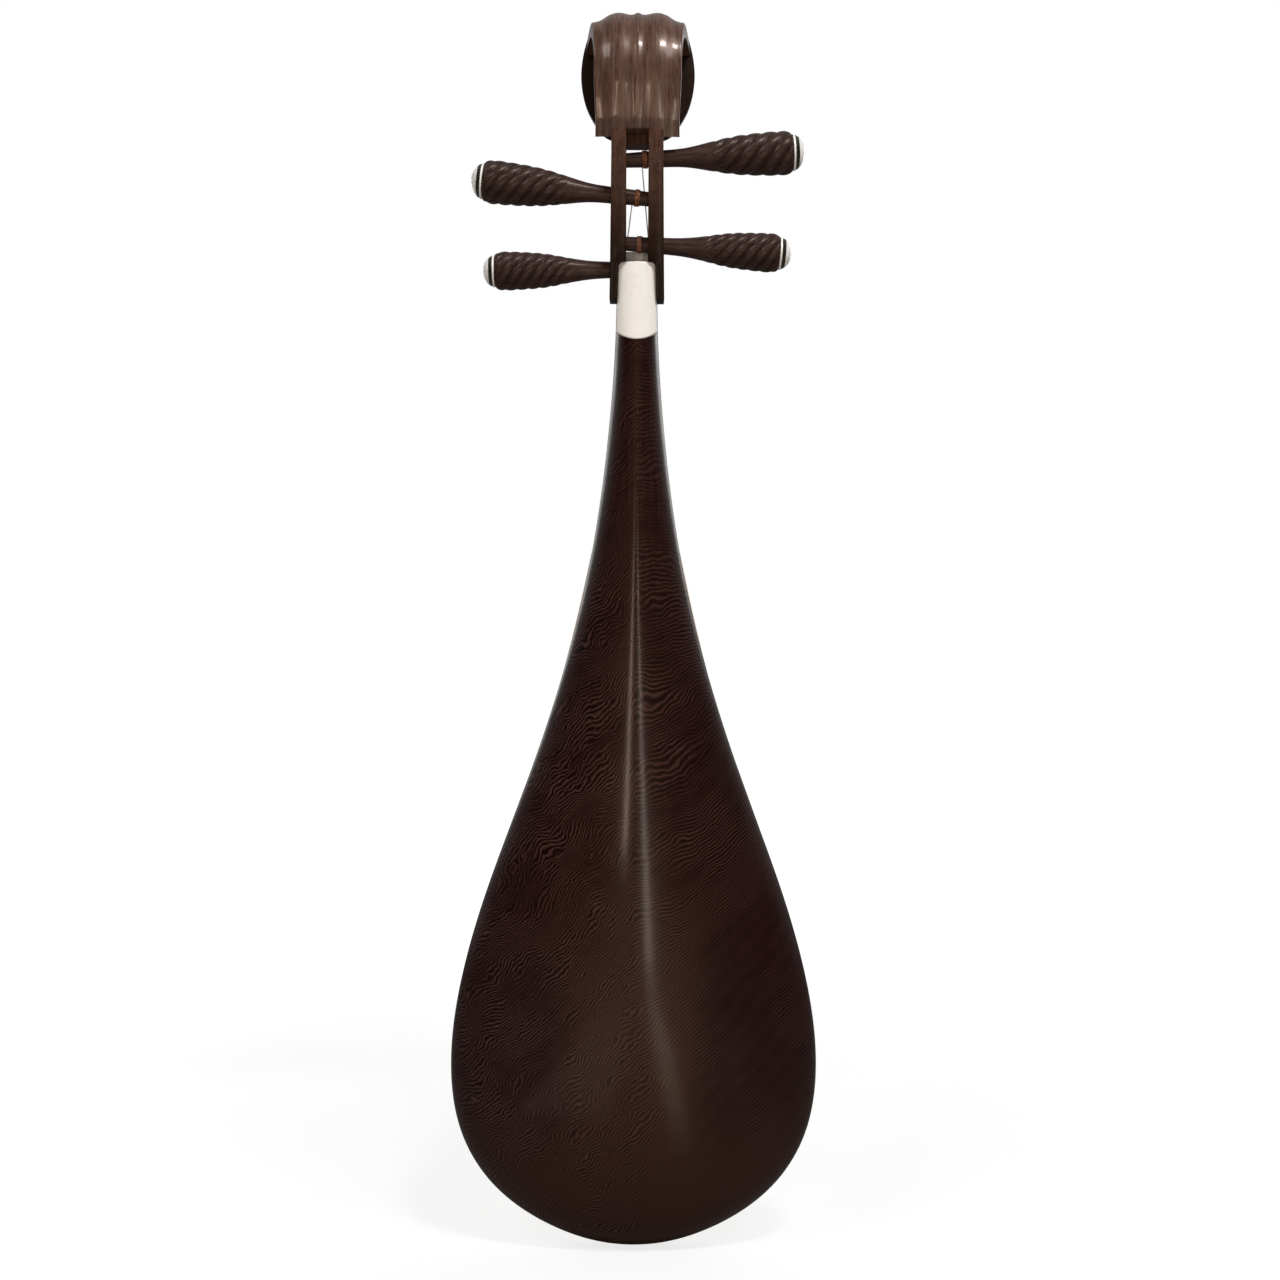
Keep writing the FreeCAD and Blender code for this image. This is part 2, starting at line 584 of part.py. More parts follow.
def peg_parts(number, word, side, tilt, scale, coil_centre):
    placement = peg_placement(word, side, tilt)
    cheek = cheek_face(word) + size["shoulder_gap"]
    length = size["handle_length"] * scale
    ring_start = cheek + length
    cap_start = ring_start + size["ring_width"]
    cap_end = cap_start + size["cap_length"]
    edge = HANDLE[-1][1] * scale
    button = size["button_radius"] * scale
    pin = size["pin_radius"]
    pin_start = cap_end - size["pin_length"]
    handle = [(radius * (scale if share > SCALED_FROM else 1), cheek + share * length, 0)
              for share, radius in HANDLE]

    wood = doc.addObject("PartDesign::Body", f"peg_{number}_wood")
    outline_sketch = sketch_in(wood, f"peg_{number}_outline", "XZ_Plane")
    outline_sketch.addGeometry(smooth(handle), False)
    corners = [(edge, ring_start), (SPIGOT, ring_start), (SPIGOT, cap_start), (edge - 0.6, cap_start),
               (button + 0.3, cap_end), (pin, cap_end), (pin, pin_start), (0, pin_start),
               (0, -size["shaft_end"]), (shaft_radius(-size["shaft_end"]), -size["shaft_end"]),
               (handle[0][0], cheek)]
    for start, end in zip(corners, corners[1:]):
        outline_sketch.addGeometry(Part.LineSegment(Vector(*start, 0), Vector(*end, 0)), False)
    turn(wood, f"peg_{number}_turning", outline_sketch)
    wood.Placement = placement
    keep(f"peg_{number}", wood)

    ring_body = doc.addObject("PartDesign::Body", f"peg_{number}_ring_body")
    ring_sketch = sketch_in(ring_body, f"peg_{number}_ring_section", "XZ_Plane")
    polygon(ring_sketch, ((SPIGOT, ring_start), (edge + 0.3, ring_start), (edge + 0.3, cap_start),
                          (SPIGOT, cap_start)))
    turn(ring_body, f"peg_{number}_ring_turning", ring_sketch)
    ring_body.Placement = placement
    keep(f"peg_{number}_ring", ring_body)

    rise = size["button_rise"]
    dome_radius = (button ** 2 + rise ** 2) / (2 * rise)
    middle = (button * 0.6, cap_end + rise - dome_radius + math.sqrt(dome_radius ** 2 - (button * 0.6) ** 2))
    button_body = doc.addObject("PartDesign::Body", f"peg_{number}_button_body")
    button_sketch = sketch_in(button_body, f"peg_{number}_button_section", "XZ_Plane")
    button_sketch.addGeometry(
        Part.Arc(Vector(button, cap_end, 0), Vector(*middle, 0), Vector(0, cap_end + rise, 0)), False)
    stem = [(0, cap_end + rise), (0, pin_start), (pin, pin_start), (pin, cap_end), (button, cap_end)]
    for start, end in zip(stem, stem[1:]):
        button_sketch.addGeometry(Part.LineSegment(Vector(*start, 0), Vector(*end, 0)), False)
    turn(button_body, f"peg_{number}_button_turning", button_sketch)
    button_body.Placement = placement
    keep(f"peg_{number}_button", button_body)

    coil(number, side * coil_centre, placement)


BEAD_RISE = 1.4  # height of a bead in string radii


def coil(number, centre, placement):
    """Turns of string round the shaft, as beads on a thin sleeve."""
    bead = size["string_radius"]
    turns = round(size["coil_width"] / (2 * bead))
    start = centre - turns * bead
    body = doc.addObject("PartDesign::Body", f"string_{number}_coil_body")
    sketch = sketch_in(body, f"string_{number}_coil_section", "XZ_Plane")
    inner_low, inner_high = shaft_radius(start), shaft_radius(start + turns * 2 * bead)
    base = inner_high + size["coil_sleeve"]
    for turn_number in range(turns):
        low = start + turn_number * 2 * bead
        sketch.addGeometry(Part.Arc(Vector(base, low, 0), Vector(base + bead * BEAD_RISE, low + bead, 0),
                                    Vector(base, low + 2 * bead, 0)), False)
    end = start + turns * 2 * bead
    for first, last in (((base, end), (inner_high, end)), ((inner_high, end), (inner_low, start)),
                        ((inner_low, start), (base, start))):
        sketch.addGeometry(Part.LineSegment(Vector(*first, 0), Vector(*last, 0)), False)
    turn(body, f"string_{number}_coil_turning", sketch)
    body.Placement = placement
    keep(f"string_{number}_winding", body)


for number, (word, side, tilt, scale, coil_centre, _, _) in enumerate(PEGS, start=1):
    peg_parts(number, word, side, tilt, scale, coil_centre)


# ---------------------------------------------------------------- strings

def tube(points, bend, radius):
    """A round cord along straight runs joined by tangent arcs."""
    edges = []
    start = points[0]
    for before, corner, after in zip(points, points[1:], points[2:]):
        arriving = (corner - before).normalize()
        leaving = (after - corner).normalize()
        half_turn = arriving.getAngle(leaving) / 2
        reach = bend * math.tan(half_turn)
        first = corner - arriving * reach
        last = corner + leaving * reach
        inward = (leaving - arriving).normalize()
        middle = corner + inward * (bend / math.cos(half_turn) - bend)
        edges += [Part.LineSegment(start, first).toShape(), Part.Arc(first, middle, last).toShape()]
        start = last
    edges.append(Part.LineSegment(start, points[-1]).toShape())
    path = Part.Wire(edges)
    section = Part.Wire(Part.Circle(points[0], (points[1] - points[0]).normalize(), radius).toShape())
    return path.makePipeShell([section], True, False)


def tangent_point(start, centre, radius):
    """Where a straight string from start meets a circle about the peg's axis, over its top."""
    away = Vector(0, start.y - centre.y, start.z - centre.z)
    angle = math.atan2(away.z, away.y) - math.acos(radius / away.Length)
    return centre + Vector(0, math.cos(angle), math.sin(angle)) * radius


def string_route(word, side, tilt, end_across, place):
    spacing, wire = size["nut_spacing"], size["string_radius"]
    tail_end = Vector(place * size["bridge_spacing"], string_at_bridge, bridge_centre - 10)
    over_bridge = Vector(place * size["bridge_spacing"], string_at_bridge, bridge_line + 1.0)
    over_nut = Vector(place * spacing, string_at_nut, nut_line)
    route = [tail_end, over_bridge, over_nut]
    if word == "fourth":
        route.append(Vector(place * spacing * 0.8, lip_back + 1.2, lip_top + 13.2))
    lift = side * end_across * math.tan(math.radians(tilt))
    centre = Vector(end_across, size[f"{word}_peg_depth"], size[f"{word}_peg_line"] + lift)
    reach = shaft_radius(side * end_across) + wire + size["string_clearance"]
    route.append(tangent_point(route[-1], centre, reach))
    return route


NUT_BEND = 3.0
for number, (word, side, tilt, _, _, end_across, place) in enumerate(PEGS, start=1):
    cord = tube(string_route(word, side, tilt, end_across, place), NUT_BEND, size["string_radius"])
    keep(f"string_{number}", shaped(f"string_{number}_cord", cord))


# ---------------------------------------------------------------- checks and export

doc.recompute()
for item in doc.Objects:
    if "Invalid" in item.State or "Error" in item.State:
        raise RuntimeError(f"{item.Name} did not recompute: {item.State}")
for name, item in parts.items():
    if item.Shape.isNull() or not item.Shape.isValid() or item.Shape.Volume <= 0:
        raise RuntimeError(f"{name} has no valid shape")

os.makedirs("parts", exist_ok=True)
for name, item in parts.items():
    item.Shape.exportStep(os.path.join("parts", f"{name}.step"))
    print(f"{name}: {len(item.Shape.Solids)} solid(s), {item.Shape.Volume / 1000:.2f} cm3")
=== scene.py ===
import math

import bmesh
import bpy
import numpy as np
from mathutils import Matrix, Vector


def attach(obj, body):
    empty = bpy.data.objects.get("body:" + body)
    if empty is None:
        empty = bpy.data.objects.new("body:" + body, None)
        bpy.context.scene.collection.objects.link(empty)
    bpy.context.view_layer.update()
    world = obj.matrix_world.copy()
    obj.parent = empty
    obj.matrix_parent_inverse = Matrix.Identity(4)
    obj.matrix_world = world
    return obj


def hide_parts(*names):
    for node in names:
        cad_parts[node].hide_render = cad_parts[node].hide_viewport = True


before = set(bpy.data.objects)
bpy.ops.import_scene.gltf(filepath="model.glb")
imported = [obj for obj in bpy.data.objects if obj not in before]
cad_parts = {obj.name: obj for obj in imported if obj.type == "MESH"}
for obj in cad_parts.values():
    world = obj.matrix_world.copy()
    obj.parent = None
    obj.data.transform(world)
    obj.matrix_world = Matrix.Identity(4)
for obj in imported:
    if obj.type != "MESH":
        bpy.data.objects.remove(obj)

# The pipa's looks round its CAD frame. Shapes are written in millimetres in the CAD frame
# (+Z up the strings, +Y out of the carved back, soundboard towards -Y) and scaled to metres.
MM = 0.001
scene = bpy.context.scene
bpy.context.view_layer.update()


# ------------------------ node helpers

def node(tree, kind, inputs=None, **settings):
    """A shader node; inputs maps socket names or numbers to values or to other sockets."""
    made = tree.nodes.new(kind)
    for name, value in settings.items():
        setattr(made, name, value)
    for key, value in (inputs or {}).items():
        if isinstance(value, bpy.types.NodeSocket):
            tree.links.new(value, made.inputs[key])
        else:
            made.inputs[key].default_value = value
    return made


def math_node(tree, operation, *values, clamp=False):
    made = node(tree, "ShaderNodeMath", dict(enumerate(values)), operation=operation)
    made.use_clamp = clamp
    return made.outputs[0]


def mix_colour(tree, share, first, second):
    """A mix of two colours, each a socket or three linear numbers."""
    ends = [end if isinstance(end, bpy.types.NodeSocket) else (*end, 1.0) for end in (first, second)]
    made = node(tree, "ShaderNodeMix", {0: share, 6: ends[0], 7: ends[1]}, data_type="RGBA")
    return made.outputs[2]


def mix_value(tree, share, first, second):
    return node(tree, "ShaderNodeMix", {0: share, 2: first, 3: second}).outputs[0]


def remap(tree, value, from_low, from_high, to_low=0.0, to_high=1.0, smooth=False):
    made = node(tree, "ShaderNodeMapRange", {0: value, 1: from_low, 2: from_high, 3: to_low, 4: to_high})
    made.interpolation_type = "SMOOTHSTEP" if smooth else "LINEAR"
    return made.outputs[0]


def millimetres(tree, scale=(1.0, 1.0, 1.0)):
    """Object coordinates in millimetres, stretched by scale."""
    place = node(tree, "ShaderNodeTexCoord").outputs["Object"]
    factors = tuple(1000.0 * s for s in scale)
    return node(tree, "ShaderNodeMapping", {"Vector": place, "Scale": factors}).outputs[0]


def place_axes(tree):
    """The X, Y and Z of a point in millimetres."""
    return list(node(tree, "ShaderNodeSeparateXYZ", {0: millimetres(tree)}).outputs)


def wave_along(tree, along, pitch):
    """A wave between 0 and 1 that repeats every pitch millimetres."""
    wave = math_node(tree, "SINE", math_node(tree, "MULTIPLY", along, 2 * math.pi / pitch))
    return math_node(tree, "MULTIPLY_ADD", wave, 0.5, 0.5)


def noise(tree, place, scale, detail=3.0, roughness=0.55, distortion=0.0):
    made = node(tree, "ShaderNodeTexNoise", {"Vector": place, "Scale": scale, "Detail": detail,
                                             "Roughness": roughness, "Distortion": distortion})
    return made.outputs[0]


def shader_material(name, roughness, specular=0.5, coat=0.0, coat_roughness=0.1, metallic=0.0,
                    tint=(1.0, 1.0, 1.0)):
    material = bpy.data.materials.new(name)
    material.use_nodes = True
    tree = material.node_tree
    shader = tree.nodes["Principled BSDF"]
    shader.inputs["Roughness"].default_value = roughness
    shader.inputs["Specular IOR Level"].default_value = specular
    shader.inputs["Coat Weight"].default_value = coat
    shader.inputs["Coat Roughness"].default_value = coat_roughness
    shader.inputs["Metallic"].default_value = metallic
    shader.inputs["Specular Tint"].default_value = (*tint, 1.0)
    return material, tree, shader


def finish_with(tree, shader, colour, roughness=None, height=None, depth=0.02):
    """Link colour, roughness and a bump of the given depth in millimetres."""
    tree.links.new(colour, shader.inputs["Base Color"])
    if roughness is not None:
        tree.links.new(roughness, shader.inputs["Roughness"])
    if height is not None:
        bump = node(tree, "ShaderNodeBump", {"Height": height, "Strength": 1.0, "Distance": depth * MM})
        tree.links.new(bump.outputs[0], shader.inputs["Normal"])


# ------------------------ materials

# Specular tint of the polished woods.
WARM = (1.0, 0.74, 0.62)
# Linear colours of the back's wood, and the spacing of its growth lines and of its broad bands.
# The middle and tail colours are painted light: a lighter glow low on the bowl standing for the floor's
# reflection.
BACK_COLOURS = {"shade": (0.0105, 0.0014, 0.0018), "plum": (0.0122, 0.0032, 0.0024),
                "band": (0.024, 0.0076, 0.0056), "neck": (0.033, 0.0110, 0.0095),
                "middle": (0.041, 0.0165, 0.0088), "tail": (0.046, 0.0190, 0.0118),
                "light_line": (0.084, 0.0390, 0.0325), "dark_line": (0.0030, 0.0005, 0.0004),
                "pore": (0.006, 0.0016, 0.0014)}
LINE_PITCH, BAND_PITCH = 3.7, 23.0
# Warps of the growth lines: rate per mm, height in mm, and the share that the calm flank loses.
WARPS = ((0.009, 70.0, 0.3), (0.03, 26.0, 0.6), (0.085, 8.5, 0.85), (0.2, 3.0, 0.8), (0.55, 0.9, 0.5))


def growth_lines(tree, place, across, up, quiet):
    """Height of the growth line through a point: slanting, but nearly level on the -X flank's upper part."""
    square = math_node(tree, "MULTIPLY", across, across)
    level = math_node(tree, "MULTIPLY_ADD", square, -0.0062, math_node(tree, "MULTIPLY", across, 0.05))
    slanting = math_node(tree, "MULTIPLY", across, 1.07)
    low = remap(tree, up, 330.0, 210.0, smooth=True)
    flank = math_node(tree, "MAXIMUM", remap(tree, across, -2.0, 0.5), low)
    lines = math_node(tree, "ADD", mix_value(tree, flank, level, slanting), up)
    for rate, height, calm in WARPS:
        wander = math_node(tree, "SUBTRACT", noise(tree, place, rate, 2.0), 0.5)
        wander = math_node(tree, "MULTIPLY", wander, math_node(tree, "MULTIPLY_ADD", quiet, -calm, 1.0))
        lines = math_node(tree, "MULTIPLY_ADD", wander, height, lines)
    return lines


def rippled_back():
    """Very dark purple-brown wood with fine wavy growth lines that differ on the two flanks."""
    material, tree, shader = shader_material("rippled_rosewood", 0.42, specular=0.11, coat=0.2,
                                             coat_roughness=0.15, tint=WARM)
    place = millimetres(tree)
    across, _, up = place_axes(tree)
    # The -X flank is calmer, and low down its lines run straight and are faint.
    quiet = math_node(tree, "MULTIPLY", remap(tree, across, 10.0, -40.0), remap(tree, up, 330.0, 200.0))
    quiet = math_node(tree, "MAXIMUM", quiet, remap(tree, across, 0.0, -12.0, 0.0, 0.6))
    lines = growth_lines(tree, place, across, up, quiet)
    wave = wave_along(tree, lines, LINE_PITCH)
    trough = math_node(tree, "POWER", math_node(tree, "SUBTRACT", 1.0, wave), 2.2)
    crest = math_node(tree, "POWER", wave, 2.3)

    # The lines come and go over the surface, and fade on the neck.
    presence = remap(tree, noise(tree, place, 0.02, 3.0), 0.36, 0.58, 0.4, 1.0, smooth=True)
    presence = math_node(tree, "MULTIPLY", presence, math_node(tree, "MULTIPLY_ADD", quiet, -0.45, 1.0))
    neck = remap(tree, up, 480.0, 620.0, smooth=True)
    presence = math_node(tree, "MULTIPLY", presence, math_node(tree, "MULTIPLY_ADD", neck, -0.5, 1.0))
    dark_line = math_node(tree, "MULTIPLY", trough, presence)
    light_line = math_node(tree, "MULTIPLY", crest, presence)
    pores = noise(tree, millimetres(tree, (1.0, 1.0, 0.3)), 1.1, 4.0, 0.65)
    pores = remap(tree, pores, 0.35, 0.7)
    streaks = noise(tree, millimetres(tree, (1.0, 1.0, 0.03)), 0.45, 4.0, 0.6)
    streaks = math_node(tree, "MULTIPLY", remap(tree, streaks, 0.42, 0.66, 0.0, 0.8), neck)
    # Painted reflection: the lower bowl's middle strip and its tail are made lighter.
    square = math_node(tree, "MULTIPLY", across, across)
    middle = math_node(tree, "MULTIPLY", remap(tree, square, 70.0 ** 2, 15.0 ** 2, smooth=True),
                       remap(tree, up, 350.0, 170.0, smooth=True))
    tail = remap(tree, up, 150.0, 50.0, smooth=True)

    # Each layer is laid over the ones before it, by its share.
    tone = remap(tree, noise(tree, place, 0.012, 3.0), 0.35, 0.65, smooth=True)
    colour = mix_colour(tree, tone, BACK_COLOURS["shade"], BACK_COLOURS["plum"])
    layers = (("band", wave_along(tree, lines, BAND_PITCH), 0.4), ("neck", streaks, 1.0),
              ("middle", middle, 0.75), ("tail", tail, 0.85), ("light_line", light_line, 0.85),
              ("dark_line", dark_line, 0.9), ("pore", pores, 0.3))
    for name, cover, share in layers:
        colour = mix_colour(tree, math_node(tree, "MULTIPLY", cover, share), colour, BACK_COLOURS[name])
    roughness = remap(tree, noise(tree, place, 0.05, 3.0), 0.3, 0.7, 0.36, 0.47)
    height = math_node(tree, "MULTIPLY_ADD", pores, -0.2, math_node(tree, "MULTIPLY", dark_line, -1.0))
    finish_with(tree, shader, colour, roughness, height, 0.035)
    return material


# Streaks per mm across the grain, and how strongly pores darken the wood.
STREAK_RATE, PORE_SHARE = 0.45, 0.5
# Colour of the painted shade in the pegs' flutes.
PAINTED_GROOVE_SHADE = (0.002, 0.0008, 0.0006)


def streaked_wood(name, tones, grain, roughness, specular, coat, coat_roughness, depth=0.015, groove=False,
                  rise=None):
    """Straight-grained wood in a dark, a middle and a light tone.

    grain holds the rate of change along X, Y and Z, least along the fibres. groove paints shade into the
    pegs' flutes, darkest where they are cut deepest. rise paints light and shade by height, lighter upwards:
    two heights in mm and the gain at each."""
    dark, mid, light = tones
    material, tree, shader = shader_material(name, roughness, specular, coat, coat_roughness, tint=WARM)
    place = millimetres(tree, grain)
    streaks = noise(tree, place, STREAK_RATE, 5.0, 0.6, 0.4)
    fine = noise(tree, place, STREAK_RATE * 4.5, 4.0, 0.6)
    pores = remap(tree, noise(tree, place, STREAK_RATE * 9.0, 2.0), 0.56, 0.72)
    blotch = noise(tree, millimetres(tree), 0.035, 3.0)
    colour = mix_colour(tree, remap(tree, streaks, 0.34, 0.66, smooth=True), dark, mid)
    colour = mix_colour(tree, remap(tree, fine, 0.45, 0.8, 0.0, 0.75), colour, light)
    shade = tuple(0.45 * c for c in dark)
    colour = mix_colour(tree, math_node(tree, "MULTIPLY", pores, PORE_SHARE), colour, shade)
    colour = mix_colour(tree, remap(tree, blotch, 0.3, 0.7, 0.0, 0.4), colour, dark)
    # Painted shade in the pegs' flutes: darker where each point's cut is deeper.
    if groove:
        low = node(tree, "ShaderNodeAttribute", attribute_name="groove").outputs["Fac"]
        colour = mix_colour(tree, math_node(tree, "MULTIPLY", low, 0.95), colour, PAINTED_GROOVE_SHADE)
    # Painted light and shade: the colour is scaled up towards the top, as if more light fell on the upper
    # part.
    if rise is not None:
        up = math_node(tree, "MULTIPLY_ADD", blotch, 30.0, place_axes(tree)[2])
        painted_light_gain = remap(tree, up, *rise, smooth=True)
        colour = node(tree, "ShaderNodeVectorMath", {0: colour, "Scale": painted_light_gain}, operation="SCALE").outputs[0]
    rough = remap(tree, fine, 0.3, 0.7, roughness - 0.05, roughness + 0.07)
    height = math_node(tree, "MULTIPLY_ADD", pores, -0.8, fine)
    finish_with(tree, shader, colour, rough, height, depth)
    return material


def ivory(name, fibre, cream, bright):
    """Polished bone: warm white with faint fibres and a little wear."""
    material, tree, shader = shader_material(name, 0.3, specular=0.45, coat=0.15, coat_roughness=0.1)
    fibres = noise(tree, millimetres(tree, (1.0, 1.0, 0.12)), 0.9, 4.0, 0.6)
    cloud = noise(tree, millimetres(tree), 0.09, 3.0)
    colour = mix_colour(tree, remap(tree, fibres, 0.4, 0.75, 0.0, 0.4), cream, fibre)
    colour = mix_colour(tree, remap(tree, cloud, 0.4, 0.75, 0.0, 0.35), colour, bright)
    rough = remap(tree, cloud, 0.3, 0.7, 0.24, 0.38)
    finish_with(tree, shader, colour, rough, fibres, 0.006)
    return material


def soundboard_wood():
    """Paulownia: pale, matte, with straight growth lines a few millimetres apart."""
    ring_pitch = 5.6
    material, tree, shader = shader_material("paulownia", 0.55, specular=0.35)
    wander = math_node(tree, "SUBTRACT", noise(tree, millimetres(tree, (1.0, 1.0, 0.12)), 0.03, 3.0), 0.5)
    rings = math_node(tree, "MULTIPLY_ADD", wander, 15.0, place_axes(tree)[0])
    late = math_node(tree, "POWER", wave_along(tree, rings, ring_pitch), 5.0)
    fibres = noise(tree, millimetres(tree, (1.0, 1.0, 0.02)), 1.6, 5.0, 0.65)
    colour = mix_colour(tree, remap(tree, fibres, 0.35, 0.7), (0.57, 0.41, 0.235), (0.68, 0.525, 0.33))
    colour = mix_colour(tree, math_node(tree, "MULTIPLY", late, 0.42), colour, (0.36, 0.215, 0.105))
    tone = noise(tree, millimetres(tree), 0.01, 2.0)
    colour = mix_colour(tree, remap(tree, tone, 0.3, 0.7, 0.0, 0.3), colour, (0.50, 0.34, 0.18))
    height = math_node(tree, "MULTIPLY_ADD", late, 0.5, fibres)
    finish_with(tree, shader, colour, remap(tree, fibres, 0.3, 0.7, 0.48, 0.62), height, 0.03)
    return material


def bamboo():
    """Split bamboo laid across the strings: dense fibre dots and lines, darker skin on top."""
    material, tree, shader = shader_material("bamboo_strip", 0.42, specular=0.45, coat=0.15,
                                             coat_roughness=0.2)
    fibres = noise(tree, millimetres(tree, (0.06, 1.0, 1.0)), 2.6, 4.0, 0.7)
    skin = remap(tree, place_axes(tree)[1], -19.0, -9.0, 0.55, 0.0)
    colour = mix_colour(tree, remap(tree, fibres, 0.38, 0.66), (0.47, 0.30, 0.125), (0.70, 0.52, 0.28))
    colour = mix_colour(tree, skin, colour, (0.40, 0.23, 0.085))
    tone = noise(tree, millimetres(tree), 0.08, 2.0)
    colour = mix_colour(tree, remap(tree, tone, 0.35, 0.7, 0.0, 0.35), colour, (0.62, 0.47, 0.26))
    finish_with(tree, shader, colour, remap(tree, fibres, 0.3, 0.7, 0.36, 0.5), fibres, 0.02)
    return material


def wound_wire(name, dark, light, pitch, roughness, metallic, direction):
    """Fine wire or silk wound round a core; direction is the frame axis that the string follows."""
    material, tree, shader = shader_material(name, roughness, metallic=metallic)
    turns = wave_along(tree, place_axes(tree)["XYZ".index(direction)], pitch)
    rub = noise(tree, millimetres(tree), 0.35, 3.0)
    colour = mix_colour(tree, turns, dark, light)
    worn = tuple(0.6 * c for c in dark)
    colour = mix_colour(tree, remap(tree, rub, 0.4, 0.75, 0.0, 0.5), colour, worn)
    rough = remap(tree, rub, 0.3, 0.7, roughness - 0.06, roughness + 0.1)
    finish_with(tree, shader, colour, rough, turns, 0.02)
    return material


# The head's band is the back's wood painted lighter: a painted sheen standing for its glossy reflection.
HEAD_PAINTED_SHEEN_TONES = ((0.048, 0.0200, 0.0130), (0.128, 0.068, 0.047), (0.220, 0.155, 0.115))
# The front plate is the head's same wood painted far darker: painted shade for its face in the hollow.
PLATE_PAINTED_SHADE_TONES = ((0.0090, 0.0036, 0.0027), (0.018, 0.0078, 0.0056), (0.046, 0.023, 0.016))
CHEEK_TONES = ((0.017, 0.0068, 0.0046), (0.036, 0.0172, 0.0115), (0.070, 0.042, 0.029))
PEG_TONES = ((0.0200, 0.0080, 0.0066), (0.045, 0.0230, 0.0190), (0.100, 0.062, 0.052))
EBONY_TONES = ((0.010, 0.0085, 0.007), (0.016, 0.013, 0.011), (0.030, 0.026, 0.022))
BAMBOO_TONES = ((0.36, 0.215, 0.095), (0.50, 0.325, 0.155), (0.60, 0.43, 0.235))
SPRUCE_TONES = ((0.46, 0.31, 0.165), (0.60, 0.44, 0.26), (0.70, 0.55, 0.36))

BACK_WOOD = rippled_back()
HEAD_PAINTED_SHEEN_WOOD = streaked_wood("head_rosewood_painted_sheen", HEAD_PAINTED_SHEEN_TONES, grain=(1.0, 0.05, 0.05), roughness=0.32,
                          specular=0.3, coat=0.25, coat_roughness=0.12)
PLATE_PAINTED_SHADE_WOOD = streaked_wood("plate_rosewood_painted_shade", PLATE_PAINTED_SHADE_TONES, grain=(1.0, 1.0, 0.06), roughness=0.5,
                           specular=0.1, coat=0.0, coat_roughness=0.14)
# The cheeks are painted lighter towards the head and darker at their foot, painted light and shade,
# # and the ribs carry that on from where they leave off.
CHEEK_PAINTED_LIGHT_WOOD = streaked_wood("cheek_rosewood_painted_light", CHEEK_TONES, grain=(1.0, 1.0, 0.05), roughness=0.38,
                           specular=0.07, coat=0.04, coat_roughness=0.18, rise=(812.0, 925.0, 0.22, 2.6))
RIB_PAINTED_LIGHT_WOOD = streaked_wood("rib_rosewood_painted_light", CHEEK_TONES, grain=(1.0, 1.0, 0.05), roughness=0.38,
                         specular=0.07, coat=0.04, coat_roughness=0.18, rise=(914.0, 935.0, 2.54, 3.5))
PEG_WOOD = streaked_wood("peg_rosewood", PEG_TONES, grain=(0.05, 1.0, 1.0), roughness=0.44,
                         specular=0.2, coat=0.1, coat_roughness=0.2, groove=True)
CAP_WOOD = streaked_wood("cap_ebony", EBONY_TONES, grain=(0.2, 1.0, 1.0), roughness=0.34,
                         specular=0.45, coat=0.2, coat_roughness=0.15)
BRIDGE_WOOD = streaked_wood("bridge_bamboo", BAMBOO_TONES, grain=(0.05, 1.0, 1.0), roughness=0.45,
                            specular=0.4, coat=0.1, coat_roughness=0.2, depth=0.03)
BRACE_WOOD = streaked_wood("brace_spruce", SPRUCE_TONES, grain=(0.05, 1.0, 1.0), roughness=0.62,
                           specular=0.3, coat=0.0, coat_roughness=0.2, depth=0.03)
POST_WOOD = streaked_wood("post_spruce", SPRUCE_TONES, grain=(1.0, 0.05, 1.0), roughness=0.62,
                          specular=0.3, coat=0.0, coat_roughness=0.2, depth=0.03)
BONE = ivory("polished_bone", (0.89, 0.85, 0.79), (0.955, 0.935, 0.895), (0.965, 0.95, 0.92))
WHITE_BONE = ivory("white_bone", (0.90, 0.88, 0.84), (0.96, 0.95, 0.93), (0.97, 0.965, 0.95))
SOUNDBOARD = soundboard_wood()
BAMBOO = bamboo()
STRING = wound_wire("wound_string", (0.80, 0.79, 0.76), (0.95, 0.94, 0.92), pitch=0.42, roughness=0.34,
                    metallic=0.05, direction="Z")
WINDING = wound_wire("copper_winding", (0.13, 0.045, 0.023), (0.40, 0.165, 0.085), pitch=1.1, roughness=0.42,
                     metallic=0.3, direction="X")


# ------------------------ mesh helpers

# Points nearer than the first are joined, and edges shorter than the second are dropped, in metres.
MERGE, SLIVER = 1e-6, 1e-7


def piece(name, points, faces, material, body, nodes, slot, sharp=40.0):
    """A mesh piece from points in millimetres; it rides on body and stands for nodes."""
    mesh = bpy.data.meshes.new(name)
    mesh.from_pydata([tuple(MM * c for c in point) for point in points], [], faces)
    mesh.validate()
    return dressed(name, mesh, material, body, nodes, sharp)


def dressed(name, mesh, material, body, nodes, sharp):
    """Clean the mesh, shade it smooth but for edges over sharp degrees, and put it in the scene."""
    work = bmesh.new()
    work.from_mesh(mesh)
    bmesh.ops.remove_doubles(work, verts=work.verts, dist=MERGE)
    bmesh.ops.dissolve_degenerate(work, edges=work.edges, dist=SLIVER)
    bmesh.ops.recalc_face_normals(work, faces=work.faces)
    work.to_mesh(mesh)
    work.free()
    mesh.shade_smooth()
    mesh.set_sharp_from_angle(angle=math.radians(sharp))
    mesh.materials.clear()
    mesh.materials.append(material)
    made = bpy.data.objects.new(name, mesh)
    scene.collection.objects.link(made)
    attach(made, body)
    if nodes:
        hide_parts(*nodes)
    return made


def grid_faces(rows, columns, start=0, wrap=False):
    """Quads between neighbouring rows of points; wrap joins the last column to the first."""
    faces = []
    for row in range(rows - 1):
        for column in range(columns if wrap else columns - 1):
            near = start + row * columns
            after = (column + 1) % columns
            faces.append((near + column, near + after, near + columns + after, near + columns + column))
    return faces


